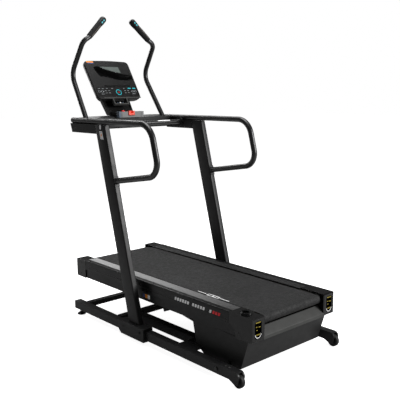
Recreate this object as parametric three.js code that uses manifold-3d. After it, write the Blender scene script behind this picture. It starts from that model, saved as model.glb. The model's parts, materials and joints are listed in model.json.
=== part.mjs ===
// Motorised incline-trainer treadmill: a base frame on two feet and two wheels, leaning uprights that carry
// handrail loops, climbing bars and a console, and a running deck that pivots at its rear end.
// Millimetres, +X to the user's right, +Y the way the user faces, +Z up, floor at z = 0,
// origin on the floor under the middle of the bounding box.
import * as THREE from "three";
import { mergeVertices } from "three/addons/utils/BufferGeometryUtils.js";
import Module from "manifold-3d";

const wasm = await Module();
wasm.setup();

// ---------- driving dimensions ----------
const GAP = 0.3; // clearance between touching pieces

// base frame
const BASE_HALF = 414; // outer face of a base rail
const RAIL = 46; // width of the rail section
const RAIL_BOTTOM = 36;
const RAIL_TOP = 87;
const RAIL_IN = BASE_HALF - RAIL;
const RAIL_FRONT = 674;
const RAIL_REAR = -820;
const WALL = 2.5; // wall of the rectangular tubes
const CROSS_DEPTH = 40; // front and middle cross tubes, front to back
const CROSS_BOTTOM = 60;
const CROSS_TOP = 91;
const FRONT_CROSS_Y = 576; // centre lines
const MID_CROSS_Y = 221;
const REAR_CROSS_Y = -382;
const SPINE_IN = 207; // inner face of the lengthwise tubes
const SPINE_OUT = 257;
const GUSSET_REAR = -495;

// uprights and their sockets
const UPRIGHT_OUT = 407;
const UPRIGHT_IN = 369;
const UPRIGHT_DEPTH = 103; // measured level, front face to rear face
const UPRIGHT_FOOT_Z = 104.3;
const UPRIGHT_FOOT_Y = 70; // front face at the foot
const UPRIGHT_TOP_Z = 1268;
const LEAN = 0.261; // forward run per unit of rise
const SOCKET = { out: 432, inn: 362, rear: -106, front: 143, bottom: 23, top: 104 };

// handrails and the frame that holds the console
const RAIL_TUBE_R = 17.5;
const RAIL_TUBE_X = 388;
const RAIL_TUBE_Z = 1287;
const LOOP_REAR_TOP = [-153, 1287]; // corners of the loop before rounding, as (y, z)
const LOOP_REAR_LOW = [-227, 1008];
const LOOP_END = [184, 941];
const LOOP_TOP_BEND = 115;
const LOOP_LOW_BEND = 85;
const COLLAR = { bottom: 908, top: 970, thick: 6 }; // plate that joins the loop's lower end to the upright
const ARM_FRONT = 654;
const ARM_BOTTOM = 1213;
const ARM_TOP = RAIL_TUBE_Z - RAIL_TUBE_R - GAP;
const BEAM_REAR = 580;
const BEAM_BOW = 36; // how far the beam's front bulges at the middle
const BEAM_BOTTOM = 1224;
const BEAM_TOP_REAR = 1294; // the beam's top rises towards the front
const BEAM_TOP = 1306;
const CROSS_BAR = { y: 478, z: 1257, r: 16, half: 364 };

// climbing bars: centre line of the right-hand one, as (x, y, z) corners, and their bend radii
const BAR_R = 16;
const BAR_PATH = [
  [314.5, 610, 1290],
  [297, 798, 1578],
  [285, 662, 1786],
  [245, 664, 1806],
  [114, 684, 1931],
];
const BAR_BENDS = [95, 54, 40];
const GRIP_R = 20;
const GRIP_LENGTH = 172;

// console
const CONSOLE_TILT = 0.5835; // leans away from the user, radians from upright
const CONSOLE_EDGE = { y: 671.45, z: 1417.5 }; // bottom edge of the front face
const CONSOLE_W = 360;
const CONSOLE_H = 304;
const CONSOLE_D = 45;
const CONSOLE_CROWN = 9; // how far the top edge rises at the middle
const FASCIA = 12; // thickness of the front panel
const NECK = { rear: 657, low: BEAM_TOP + GAP, top: 1396, halfLow: 103, halfTop: 112, depth: 36 };
const MODULE = { half: 100, rear: 549, front: 577, bottom: 1295, top: 1334 };

// wheels and feet
const WHEEL_R = 35.5;
const WHEEL_W = 24;
const WHEEL_Y = -841;
const SIDE_X = BASE_HALF - RAIL / 2; // centre line of a base rail
const FOOT_Y = 629;

// running deck
const DECK_HALF = 333;
const DECK_TOP = 352;
const DECK_REAR = -876;
const DECK_FRONT = 764;
const REAR_CAP_Y = -708; // where the rear caps begin
const FRONT_CAP_Y = 658;
const SKIRT_BOTTOM = 288;
const FOOTRAIL_IN = 238;
const CAP_IN = 248;
const CAP_BOTTOM = 224;
const CAP_WALL = 4;
const SIDE_TUBE = { inn: 297, out: 326.7, bottom: 231, top: 287, rear: -755, front: 655 };
const BELT_HALF = 225;
const BELT_T = 2.4;
const ROLLER_R = 24;
const ROLLER_Z = 319.3;
const REAR_ROLLER_Y = -834;
const FRONT_ROLLER_Y = 715;
const FRONT_ROLLER_Z = 309;
const BOARD = { half: 318, rear: -790, front: 640, bottom: 325, top: 343 };

// deck pivot, lift arm and lift motor: points as (y, z)
const PIVOT = [-701, 62];
const PIVOT_R = 10;
const ARM_HINGE = [-174, 110];
const ARM_TIP_Z = 185; // the tip is as far from the arm's hinge as the hinge is from the deck pivot
const ARM_LENGTH = Math.hypot(ARM_HINGE[0] - PIVOT[0], ARM_HINGE[1] - PIVOT[1]);
const ARM_TIP = [
  ARM_HINGE[0] + Math.sqrt(ARM_LENGTH ** 2 - (ARM_TIP_Z - ARM_HINGE[1]) ** 2),
  ARM_TIP_Z,
];
const INCLINE = (20 * Math.PI) / 180;
const CRANK = 115;
const CRANK_ANGLE = (92 * Math.PI) / 180;
const CRANK_PIN = [
  ARM_HINGE[0] + CRANK * Math.cos(CRANK_ANGLE),
  ARM_HINGE[1] + CRANK * Math.sin(CRANK_ANGLE),
];
const MOTOR_HINGE = [170, 80];

// drive
const DRIVE_MOTOR = [-604, 137]; // motor shaft, as (y, z)
const DRIVE_PLANE = 262; // distance of the drive belt's inner edge from the middle
const PULLEY_W = 16;
const ROLLER_PULLEY_R = 22;
const MOTOR_PULLEY_R = 15;

// ---------- materials ----------
const paint = (colour, roughness = 0.55, metalness = 0.3) =>
  new THREE.MeshStandardMaterial({ color: colour, roughness, metalness });
const frameBlack = () => paint(0x2b2d31, 0.5, 0.4);
const plasticBlack = () => paint(0x1d1d1f, 0.45, 0);
const rubberBlack = () => paint(0x2a2a2c, 0.9, 0);
const steel = () => paint(0x9a9c9e, 0.35, 0.9);
const silver = () => paint(0xa4a6a6, 0.4, 0.6);
const red = () => paint(0xdc2a24, 0.4, 0);
const cyan = () => paint(0x3cb4be, 0.4, 0);

// ---------- geometry helpers ----------
function solidOf(geometry) {
  const plain = geometry.clone();
  plain.deleteAttribute("normal");
  plain.deleteAttribute("uv");
  const merged = mergeVertices(plain, 1e-3);
  const triVerts = new Uint32Array(merged.index.array);
  const vertProperties = new Float32Array(merged.attributes.position.array);
  const solid = new wasm.Manifold(new wasm.Mesh({ numProp: 3, vertProperties, triVerts }));
  if (solid.volume() > 0) return solid;
  for (let i = 0; i < triVerts.length; i += 3) {
    [triVerts[i + 1], triVerts[i + 2]] = [triVerts[i + 2], triVerts[i + 1]];
  }
  return new wasm.Manifold(new wasm.Mesh({ numProp: 3, vertProperties, triVerts }));
}

function geometryOf(solid) {
  const { vertProperties, triVerts } = solid.getMesh();
  const geometry = new THREE.BufferGeometry();
  geometry.setAttribute("position", new THREE.BufferAttribute(vertProperties, 3));
  geometry.setIndex(new THREE.BufferAttribute(triVerts, 1));
  geometry.computeVertexNormals();
  return geometry;
}

const join = (...pieces) => geometryOf(pieces.map(solidOf).reduce((a, b) => a.add(b)));
const cut = (piece, ...tools) =>
  geometryOf(tools.map(solidOf).reduce((a, b) => a.subtract(b), solidOf(piece)));
const common = (a, b) => geometryOf(solidOf(a).intersect(solidOf(b)));

function block(x0, x1, y0, y1, z0, z1) {
  const box = new THREE.BoxGeometry(x1 - x0, y1 - y0, z1 - z0);
  return box.translate((x0 + x1) / 2, (y0 + y1) / 2, (z0 + z1) / 2);
}

const outline = (points) => new THREE.Shape(points.map(([a, b]) => new THREE.Vector2(a, b)));

// A side-view outline of (y, z) points, extruded from x0 to x1.
function sidePlate(points, x0, x1) {
  const shape = points instanceof THREE.Shape ? points : outline(points);
  const options = { depth: x1 - x0, bevelEnabled: false, curveSegments: 10 };
  const toSide = new THREE.Matrix4().makeBasis(
    new THREE.Vector3(0, 1, 0),
    new THREE.Vector3(0, 0, 1),
    new THREE.Vector3(1, 0, 0),
  );
  return new THREE.ExtrudeGeometry(shape, options).applyMatrix4(toSide).translate(x0, 0, 0);
}

// A front-view outline of (x, z) points, extruded from y0 to y1.
function frontPlate(points, y0, y1) {
  const shape = points instanceof THREE.Shape ? points : outline(points);
  const options = { depth: y1 - y0, bevelEnabled: false, curveSegments: 6 };
  return new THREE.ExtrudeGeometry(shape, options).rotateX(Math.PI / 2).translate(0, y1, 0);
}

// A top-view outline of (x, y) points, extruded from z0 to z1.
function topPlate(points, z0, z1) {
  const options = { depth: z1 - z0, bevelEnabled: false };
  return new THREE.ExtrudeGeometry(outline(points), options).translate(0, 0, z0);
}

function roundedRect(w, h, r) {
  const shape = new THREE.Shape();
  shape.absarc(w / 2 - r, h / 2 - r, r, 0, Math.PI / 2);
  shape.absarc(r - w / 2, h / 2 - r, r, Math.PI / 2, Math.PI);
  shape.absarc(r - w / 2, r - h / 2, r, Math.PI, 1.5 * Math.PI);
  shape.absarc(w / 2 - r, r - h / 2, r, 1.5 * Math.PI, 2 * Math.PI);
  return shape;
}

// A round bar from one point to another.
function rod(from, to, radius, sides = 16, endRadius = radius) {
  const a = new THREE.Vector3(...from);
  const b = new THREE.Vector3(...to);
  const along = b.clone().sub(a);
  const bar = new THREE.CylinderGeometry(endRadius, radius, along.length(), sides);
  const turn = new THREE.Quaternion().setFromUnitVectors(
    new THREE.Vector3(0, 1, 0),
    along.clone().normalize(),
  );
  return bar.applyQuaternion(turn).translate(...a.add(b).multiplyScalar(0.5).toArray());
}

// A round bar across the machine at (y, z).
const crossRod = ([y, z], x0, x1, radius, sides = 16) =>
  rod([x0, y, z], [x1, y, z], radius, sides);

// The centre line of a bent tube: straight runs joined by arcs, with a station at each end and
// several along each arc.
class BentPath extends THREE.Curve {
  constructor(corners, radii, arcSteps = 5) {
    super();
    const at = corners.map((corner) => new THREE.Vector3(...corner));
    this.stations = [{ point: at[0], tangent: at[1].clone().sub(at[0]).normalize() }];
    for (let i = 1; i < at.length - 1; i++) {
      const before = at[i].clone().sub(at[i - 1]).normalize();
      const after = at[i + 1].clone().sub(at[i]).normalize();
      const turn = before.angleTo(after);
      const radius = radii[i - 1];
      const start = at[i].clone().addScaledVector(before, -radius * Math.tan(turn / 2));
      const axis = before.clone().cross(after).normalize();
      const toCentre = axis.clone().cross(before);
      const centre = start.clone().addScaledVector(toCentre, radius);
      for (let k = 0; k <= arcSteps; k++) {
        const angle = (turn * k) / arcSteps;
        const spoke = toCentre.clone().multiplyScalar(-radius).applyAxisAngle(axis, angle);
        const tangent = before.clone().applyAxisAngle(axis, angle);
        this.stations.push({ point: centre.clone().add(spoke), tangent });
      }
    }
    const last = at[at.length - 1];
    const end = last.clone().sub(at[at.length - 2]).normalize();
    this.stations.push({ point: last, tangent: end });
  }
  station(u) {
    return this.stations[Math.round(u * (this.stations.length - 1))];
  }
  getPointAt(u) {
    return this.station(u).point.clone();
  }
  getTangentAt(u) {
    return this.station(u).tangent.clone();
  }
}

function bentTube(corners, radii, radius, halfSides) {
  const path = new BentPath(corners, radii);
  const circle = new THREE.Shape();
  circle.absarc(0, 0, radius, 0, 2 * Math.PI);
  return new THREE.ExtrudeGeometry(circle, {
    extrudePath: path,
    steps: path.stations.length - 1,
    curveSegments: halfSides,
    bevelEnabled: false,
  });
}

const group = new THREE.Group();
const console3d = new THREE.Group(); // the console's own tilted frame
console3d.position.set(0, CONSOLE_EDGE.y, CONSOLE_EDGE.z);
console3d.rotation.x = -CONSOLE_TILT;
group.add(console3d);

function add(name, geometry, material, parent = group) {
  const mesh = new THREE.Mesh(geometry, material);
  mesh.name = name;
  parent.add(mesh);
}

// Adds a left piece and its mirror image; the geometry is made for the right-hand side (+X).
function addPair(name, geometry, material) {
  add("right_" + name, geometry, material());
  add("left_" + name, geometryOf(solidOf(geometry).mirror([1, 0, 0])), material());
}

// The bore of a bent tube: the same centre line, carried a little past both ends.
function bentBore(corners, radii, radius, halfSides) {
  const at = corners.map((corner) => new THREE.Vector3(...corner));
  const past = (end, next) => end.clone().addScaledVector(next.clone().sub(end).normalize(), -8);
  const last = at.length - 1;
  const longer = [past(at[0], at[1]), ...at.slice(1, last), past(at[last], at[last - 1])];
  return bentTube(longer.map((point) => point.toArray()), radii, radius, halfSides);
}

// A rectangular tube with open ends along X or Y.
function boxTube(x0, x1, y0, y1, z0, z1, along) {
  const t = WALL;
  const past = 5;
  const inner =
    along === "x"
      ? block(x0 - past, x1 + past, y0 + t, y1 - t, z0 + t, z1 - t)
      : block(x0 + t, x1 - t, y0 - past, y1 + past, z0 + t, z1 - t);
  return cut(block(x0, x1, y0, y1, z0, z1), inner);
}

// ---------- base frame ----------
// Two plates at the rail's rear end hold the wheel between them on its axle.
function wheelFork() {
  const profile = new THREE.Shape();
  profile.moveTo(RAIL_REAR + 30, RAIL_BOTTOM);
  profile.lineTo(WHEEL_Y + 14, 20);
  profile.lineTo(WHEEL_Y - 12, 20);
  profile.lineTo(WHEEL_Y - 20, 60);
  profile.absarc(WHEEL_Y + 6, RAIL_TOP - 26, 26, Math.PI, Math.PI / 2, true);
  profile.lineTo(RAIL_REAR + 30, RAIL_TOP);
  return sidePlate(profile, RAIL_IN, BASE_HALF);
}

function baseRail() {
  const tube = boxTube(RAIL_IN, BASE_HALF, RAIL_REAR, RAIL_FRONT, RAIL_BOTTOM, RAIL_TOP, "y");
  const half = WHEEL_W / 2 + 2;
  const wheelSpace = block(SIDE_X - half, SIDE_X + half, WHEEL_Y - 60, RAIL_REAR + 40, 0, RAIL_TOP - 5);
  const footHole = rod([SIDE_X, FOOT_Y, RAIL_BOTTOM - 5], [SIDE_X, FOOT_Y, RAIL_BOTTOM + 5], 6.3, 12);
  const shaftHole = crossRod(PIVOT, RAIL_IN - 5, BASE_HALF + 5, PIVOT_R + GAP, 20);
  const axle = crossRod([WHEEL_Y, WHEEL_R], RAIL_IN - 1, BASE_HALF + 1, 6, 14);
  return join(cut(join(tube, wheelFork()), wheelSpace, shaftHole, footHole), axle);
}

function crossTube(y, depth, bottom, top) {
  const half = RAIL_IN - GAP;
  return boxTube(-half, half, y - depth / 2, y + depth / 2, bottom, top, "x");
}

// The middle cross tube carries the two ears and the pin that hold the lift motor.
function midCrossTube() {
  const [y, z] = MOTOR_HINGE;
  const rear = MID_CROSS_Y - CROSS_DEPTH / 2;
  const profile = [
    [y - 16, z - 14],
    [y, z - 22],
    [rear + 1, CROSS_BOTTOM],
    [rear + 1, z + 7],
    [y - 8, z + 16],
    [y - 16, z + 10],
  ];
  const ear = (x) => sidePlate(profile, x, x + 8);
  return join(
    crossTube(MID_CROSS_Y, CROSS_DEPTH, CROSS_BOTTOM, CROSS_TOP),
    ear(-38),
    ear(30),
    crossRod(MOTOR_HINGE, -42, 42, 8),
  );
}

// Rear cross tube, lengthwise tubes, corner gussets and the pedestal that holds the lift arm's hinge.
function liftSubframe() {
  const front = REAR_CROSS_Y + RAIL / 2;
  const rear = REAR_CROSS_Y - RAIL / 2;
  const tubeEnd = MID_CROSS_Y - CROSS_DEPTH / 2 - GAP;
  const [hy, hz] = ARM_HINGE;
  const spine = (x0, x1) => boxTube(x0, x1, front - 1, tubeEnd, RAIL_BOTTOM, RAIL_TOP - 2, "y");
  const gusset = (x0, x1) => block(x0, x1, GUSSET_REAR, rear + 1, RAIL_TOP - 6, RAIL_TOP);
  const lugProfile = [
    [hy - 32, 60],
    [hy + 26, 60],
    [hy + 24, hz],
    [hy + 14, hz + 20],
    [hy - 14, hz + 20],
    [hy - 26, hz],
  ];
  const lug = (x) => sidePlate(lugProfile, x, x + 10);
  const solid = join(
    crossTube(REAR_CROSS_Y, RAIL, RAIL_BOTTOM, RAIL_TOP),
    spine(SPINE_IN, SPINE_OUT),
    spine(-SPINE_OUT, -SPINE_IN),
    gusset(326, RAIL_IN - GAP),
    gusset(GAP - RAIL_IN, -326),
    block(-55, 55, front - 1, hy + 24, RAIL_BOTTOM, 70),
    lug(-55),
    lug(45),
  );
  return cut(solid, crossRod(ARM_HINGE, -60, 60, 16 + GAP, 24));
}

function socket() {
  const s = SOCKET;
  const low = s.bottom + 22;
  const profile = [
    [s.rear, s.bottom],
    [s.front - 24, s.bottom],
    [s.front, low],
    [s.front, s.top],
    [s.rear, s.top],
  ];
  const [x0, x1] = [RAIL_IN - GAP, BASE_HALF + GAP];
  const rail = block(x0, x1, s.rear - 5, s.front + 5, RAIL_BOTTOM - GAP, RAIL_TOP + GAP);
  return cut(sidePlate(profile, s.inn, s.out), rail);
}

function upright() {
  const rise = UPRIGHT_TOP_Z - UPRIGHT_FOOT_Z;
  const slab = (inset, extra) => {
    const front = UPRIGHT_FOOT_Y - inset;
    const rear = UPRIGHT_FOOT_Y - UPRIGHT_DEPTH + inset;
    const low = UPRIGHT_FOOT_Z - extra;
    const top = UPRIGHT_TOP_Z + extra;
    const shift = LEAN * extra;
    const run = LEAN * (rise + extra);
    return [[rear - shift, low], [front - shift, low], [front + run, top], [rear + run, top]];
  };
  const outer = sidePlate(slab(0, 0), UPRIGHT_IN, UPRIGHT_OUT);
  return cut(outer, sidePlate(slab(WALL, 10), UPRIGHT_IN + WALL, UPRIGHT_OUT - WALL));
}

const uprightFront = (z) => UPRIGHT_FOOT_Y + LEAN * (z - UPRIGHT_FOOT_Z);

// ---------- handrails and console frame ----------
function handrail() {
  const at = ([y, z]) => [RAIL_TUBE_X, y, z];
  const corners = [[ARM_FRONT - 4, RAIL_TUBE_Z], LOOP_REAR_TOP, LOOP_REAR_LOW, LOOP_END].map(at);
  const bends = [LOOP_TOP_BEND, LOOP_LOW_BEND];
  const tube = cut(
    bentTube(corners, bends, RAIL_TUBE_R, 8),
    bentBore(corners, bends, RAIL_TUBE_R - WALL, 4),
  );
  const rear = (z) => uprightFront(z) - UPRIGHT_DEPTH - GAP; // just clear of the upright's rear face
  const ahead = [[rear(800), 800], [400, 800], [400, 1100], [rear(1100), 1100]];
  const { bottom, top, thick } = COLLAR;
  const collar = [
    [rear(bottom) - thick, bottom],
    [rear(bottom), bottom],
    [rear(top), top],
    [rear(top) - thick, top],
  ];
  const trimmed = cut(tube, sidePlate(ahead, UPRIGHT_IN - 20, UPRIGHT_OUT + 20));
  return join(trimmed, sidePlate(collar, UPRIGHT_IN + 2, UPRIGHT_OUT - 2));
}

// Two arms that run forward from the uprights, joined by a bowed beam.
function consoleFrame() {
  const armProfile = (z) => uprightFront(z) + GAP;
  const slant = 20; // the arms' front ends lean like this over their height
  const profile = [
    [armProfile(ARM_BOTTOM), ARM_BOTTOM],
    [ARM_FRONT - slant, ARM_BOTTOM],
    [ARM_FRONT, ARM_TOP],
    [armProfile(ARM_TOP), ARM_TOP],
  ];
  const half = UPRIGHT_IN + 1;
  const front = [];
  for (let i = 0; i <= 12; i++) {
    const x = half * (1 - i / 6);
    front.push([x, ARM_FRONT - slant + BEAM_BOW * (1 - (x / half) ** 2)]);
  }
  const plan = [[-half, BEAM_REAR], [half, BEAM_REAR], ...front];
  const beam = topPlate(plan, BEAM_BOTTOM, ARM_TOP);
  const top = [
    [BEAM_REAR + 6, ARM_TOP - 1],
    [BEAM_REAR + 6, BEAM_TOP_REAR],
    [ARM_FRONT - 4, BEAM_TOP],
    [ARM_FRONT + 46, BEAM_TOP],
    [ARM_FRONT + 46, ARM_TOP - 1],
  ];
  const between = RAIL_TUBE_X - RAIL_TUBE_R - 2;
  const crown = common(topPlate(plan, ARM_TOP - 2, BEAM_TOP + 5), sidePlate(top, -between, between));
  const barAt = [CROSS_BAR.y, CROSS_BAR.z];
  const ring = (sign) => crossRod(barAt, sign * (UPRIGHT_IN + 1), sign * (UPRIGHT_IN - 12), 26, 24);
  const solid = join(
    beam,
    crown,
    sidePlate(profile, UPRIGHT_IN, UPRIGHT_OUT),
    sidePlate(profile, -UPRIGHT_OUT, -UPRIGHT_IN),
    ring(1),
    ring(-1),
  );
  const bar = crossRod(barAt, -CROSS_BAR.half - GAP, CROSS_BAR.half + GAP, CROSS_BAR.r + GAP, 20);
  const [foot, bend] = BAR_PATH.map((corner) => new THREE.Vector3(...corner));
  const up = bend.clone().sub(foot).normalize();
  const low = foot.clone().addScaledVector(up, -GAP).toArray();
  const high = foot.clone().addScaledVector(up, 40).toArray();
  const socketHole = rod(low, high, BAR_R + GAP, 20);
  return cut(solid, bar, socketHole, socketHole.clone().scale(-1, 1, 1));
}

function handCrossTube() {
  const { y, z, r, half } = CROSS_BAR;
  return cut(crossRod([y, z], -half, half, r, 20), crossRod([y, z], -half - 6, half + 6, r - WALL, 12));
}

function climbBar() {
  return cut(bentTube(BAR_PATH, BAR_BENDS, BAR_R, 7), bentBore(BAR_PATH, BAR_BENDS, BAR_R - WALL, 3));
}

// Unit vector along a climbing bar's last straight run, and a point so far back from its end.
const BAR_END = new THREE.Vector3(...BAR_PATH[4]);
const BAR_DIR = BAR_END.clone().sub(new THREE.Vector3(...BAR_PATH[3])).normalize();
const backFromEnd = (distance) => BAR_END.clone().addScaledVector(BAR_DIR, -distance).toArray();
const BUTTON_BACK = [14, 34]; // distances of the grip buttons from the bar's end
const BUTTON_FACE = GRIP_R + 3;
const BUTTON_R = 6;
const POD = { length: 52, tip: 10, width: 30, depth: 12 };

// A foam sleeve over the bar's last run, with a pod at its end that carries two buttons facing the user.
function grip() {
  const sleeve = rod(backFromEnd(GRIP_LENGTH), backFromEnd(-6), GRIP_R - 1.5, 20, GRIP_R);
  const pod = rod(backFromEnd(POD.length), backFromEnd(-POD.tip), GRIP_R + 1, 20, GRIP_R + 2.5);
  const centre = backFromEnd(POD.length / 2 - 4);
  const face = new THREE.BoxGeometry(POD.length, POD.depth, POD.width);
  const turn = new THREE.Matrix4().makeRotationY(Math.atan2(BAR_DIR.z, -BAR_DIR.x));
  face.applyMatrix4(turn).translate(centre[0], centre[1] - GRIP_R + 3.5, centre[2]);
  const bore = rod(backFromEnd(GRIP_LENGTH + 5), backFromEnd(-GAP), BAR_R + GAP, 20);
  const wells = BUTTON_BACK.map((back) => {
    const [x, y, z] = backFromEnd(back);
    return rod([x, y - 40, z], [x, y - BAR_R - 1.2, z], BUTTON_R + GAP, 16);
  });
  return cut(join(sleeve, pod, face), bore, ...wells);
}

function gripButton(back) {
  const [x, y, z] = backFromEnd(back);
  return rod([x, y - BUTTON_FACE - 2, z], [x, y - BAR_R - 3.4, z], BUTTON_R, 16);
}

// ---------- console ----------
// In the console's frame x is across, z runs up the slope from its bottom edge and +y goes into the console.
function consoleNeck() {
  const n = NECK;
  const upper = n.rear + (n.top - n.low) * Math.tan(CONSOLE_TILT); // rear face at the neck's top
  const tongue = n.top + 46; // it runs on behind the console's shell
  const profile = [
    [n.rear, n.low],
    [upper, n.top],
    [upper + 34, tongue],
    [upper + 70, tongue],
    [upper + n.depth, n.top - 10],
    [n.rear + n.depth, n.low],
  ];
  const wide = sidePlate(profile, -n.halfTop, n.halfTop);
  const taper = [
    [-n.halfLow, n.low - 1],
    [n.halfLow, n.low - 1],
    [n.halfTop, tongue + 14],
    [-n.halfTop, tongue + 14],
  ];
  const recess = [
    [n.rear - 20, n.low + 30],
    [n.rear + 26, n.low + 30],
    [upper + 8, n.top + 2],
    [upper - 10, n.top + 2],
  ];
  const body = common(wide, frontPlate(taper, 600, 900));
  const foot = block(-92, 92, MODULE.front + GAP, n.rear + 10, n.low, n.low + 24);
  const behindShell = new THREE.BoxGeometry(600, 200, 400).translate(0, CONSOLE_D - 100 + GAP, 150);
  behindShell.rotateX(-CONSOLE_TILT).translate(0, CONSOLE_EDGE.y, CONSOLE_EDGE.z);
  return cut(join(body, foot), sidePlate(recess, -n.halfLow + 10, n.halfLow - 10), behindShell);
}

// The console's outline: a crowned top edge, sides that draw in slightly upwards, and rounded corners.
function consoleOutline(inset) {
  const low = CONSOLE_W / 2 - inset;
  const high = CONSOLE_W / 2 - 6 - inset;
  const top = CONSOLE_H - inset;
  const lowR = 24;
  const highR = 32;
  const shape = new THREE.Shape();
  shape.moveTo(lowR - low, inset);
  shape.lineTo(low - lowR, inset);
  shape.quadraticCurveTo(low, inset, low, inset + lowR);
  shape.lineTo(high, top - highR);
  shape.quadraticCurveTo(high, top, high - highR, top);
  shape.quadraticCurveTo(0, top + 2 * CONSOLE_CROWN, highR - high, top);
  shape.quadraticCurveTo(-high, top, -high, top - highR);
  shape.lineTo(-low, inset + lowR);
  shape.quadraticCurveTo(-low, inset, lowR - low, inset);
  return shape;
}

const DISPLAY = { w: 300, h: 112, z: CONSOLE_H - 99, x: 20 };
const KEYPAD = { w: 336, h: 78, z: CONSOLE_H - 248 };
const START = { x: 6, z: CONSOLE_H - 253, r: 17 };
const QUICK_KEYS = [105, 144];
const QUICK_KEY = { w: 26, h: 9, z: CONSOLE_H - 222 };
const TABLET_SLOT = { x0: -94, x1: 120, z: CONSOLE_H - 203 };
const PORT = { x: -4, half: 60, bottom: CONSOLE_H - 348, top: CONSOLE_H - 288 };

// The rear shell draws in towards its flat back, more at the bottom than at the top.
function consoleShell() {
  const shell = (wall) => {
    const rim = frontPlate(consoleOutline(wall), FASCIA + GAP - wall, FASCIA + GAP + 4);
    const low = CONSOLE_W / 2 - 34 - wall;
    const high = CONSOLE_W / 2 - 6 - wall;
    const shoulder = CONSOLE_H - 30;
    const backOutline = [
      [-low, 5 + wall],
      [low, 5 + wall],
      [high, shoulder],
      [high - 24, CONSOLE_H - wall],
      [24 - high, CONSOLE_H - wall],
      [-high, shoulder],
    ];
    const back = frontPlate(backOutline, CONSOLE_D - wall - 1, CONSOLE_D - wall);
    return wasm.Manifold.hull([solidOf(rim), solidOf(back)]);
  };
  return geometryOf(shell(0).subtract(shell(3)));
}

function consoleFascia() {
  const plate = frontPlate(consoleOutline(0), 0, FASCIA);
  const well = (w, h, x, z, depth) => frontPlate(roundedRect(w, h, 8), -5, depth).translate(x, 0, z);
  const slot = block(TABLET_SLOT.x0, TABLET_SLOT.x1, -5, 10, TABLET_SLOT.z - 4.5, TABLET_SLOT.z + 4.5);
  const keys = QUICK_KEYS.map((x) => block(x - 14, x + 14, -5, 9, QUICK_KEY.z - 5.5, QUICK_KEY.z + 5.5));
  const start = rod([START.x, -5, START.z], [START.x, 9, START.z], START.r + 0.6, 24);
  const port = block(PORT.x - PORT.half - GAP, PORT.x + PORT.half + GAP, -5, 20, -5, PORT.top + GAP);
  return cut(
    plate,
    well(DISPLAY.w, DISPLAY.h, DISPLAY.x, DISPLAY.z, 4),
    frontPlate(roundedRect(KEYPAD.w, KEYPAD.h, 6), -5, 1.6).translate(0, 0, KEYPAD.z),
    slot,
    ...keys,
    start,
    port,
  );
}

const displayLens = () =>
  frontPlate(roundedRect(DISPLAY.w - 1, DISPLAY.h - 1, 7.5), 1, 3.7).translate(DISPLAY.x, 0, DISPLAY.z);

function keypad() {
  const sheet = frontPlate(roundedRect(KEYPAD.w - 1, KEYPAD.h - 1, 5.5), 0.3, 1.3).translate(0, 0, KEYPAD.z);
  const keys = QUICK_KEYS.map((x) => block(x - 14, x + 14, -5, 9, QUICK_KEY.z - 5.5, QUICK_KEY.z + 5.5));
  const start = rod([START.x, -5, START.z], [START.x, 9, START.z], START.r + 0.6, 24);
  const port = block(PORT.x - PORT.half - 1, PORT.x + PORT.half + 1, -5, 20, -5, PORT.top + 1);
  return cut(sheet, ...keys, start, port);
}

function portBezel() {
  const { x, half, bottom, top } = PORT;
  const body = join(
    block(x - half, x + half, 0, FASCIA - GAP, bottom, top),
    block(x - half, x + half, 0, 22, bottom, -GAP),
  );
  return cut(body, block(x - half + 10, x + half - 10, -5, 16, bottom + 8, top - 12));
}

const startButton = () => rod([START.x, -2.2, START.z], [START.x, 6.6, START.z], START.r, 24);

function quickKey(x) {
  const { w, h, z } = QUICK_KEY;
  return block(x - w / 2, x + w / 2, -1.4, 7, z - h / 2, z + h / 2);
}

// ---------- safety module in front of the neck ----------
const KEY_CLIP = { x0: -27, x1: 22 };
const STOP = { x: -60, y: MODULE.rear + 14, r: 11 };

function safetyModule() {
  const m = MODULE;
  const body = block(-m.half, m.half, m.rear, m.front, m.bottom, m.top);
  const stopWell = rod([STOP.x, STOP.y, m.top - 16], [STOP.x, STOP.y, m.top + 5], STOP.r + 0.5, 20);
  const keyWell = block(KEY_CLIP.x0 - 1, KEY_CLIP.x1 + 1, m.rear - 5, m.rear + 16, m.bottom + 12, m.top + 5);
  return cut(body, stopWell, keyWell);
}

function stopButton() {
  const z = MODULE.top;
  const profile = [
    [0, z - 10],
    [STOP.r, z - 10],
    [STOP.r, z + 2],
    [STOP.r - 2, z + 5],
    [STOP.r - 6, z + 7],
    [0, z + 7.8],
  ];
  const dome = new THREE.LatheGeometry(profile.map(([r, h]) => new THREE.Vector2(r, h)), 20);
  return dome.rotateX(Math.PI / 2).translate(STOP.x, STOP.y, 0);
}

// A red U-shaped clip: its stem plugs into the module's front.
function safetyKey() {
  const m = MODULE;
  const { x0, x1 } = KEY_CLIP;
  const middle = (x0 + x1) / 2;
  const face = block(x0, x1, m.rear - 6, m.rear + 13, m.bottom + 15, m.top + 4);
  return cut(face, block(middle - 10, middle + 10, m.rear - 10, m.rear + 8, m.top - 12, m.top + 10));
}

// ---------- wheels and feet ----------
function wheel() {
  const half = WHEEL_W / 2;
  const r = WHEEL_R;
  const profile = [
    [6.3, -half],
    [r - 3, -half],
    [r, 3 - half],
    [r, half - 3],
    [r - 3, half],
    [6.3, half],
    [6.3, -half],
  ];
  const tyre = new THREE.LatheGeometry(profile.map(([a, b]) => new THREE.Vector2(a, b)), 32);
  return tyre.rotateZ(Math.PI / 2).translate(SIDE_X, WHEEL_Y, WHEEL_R);
}

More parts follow.
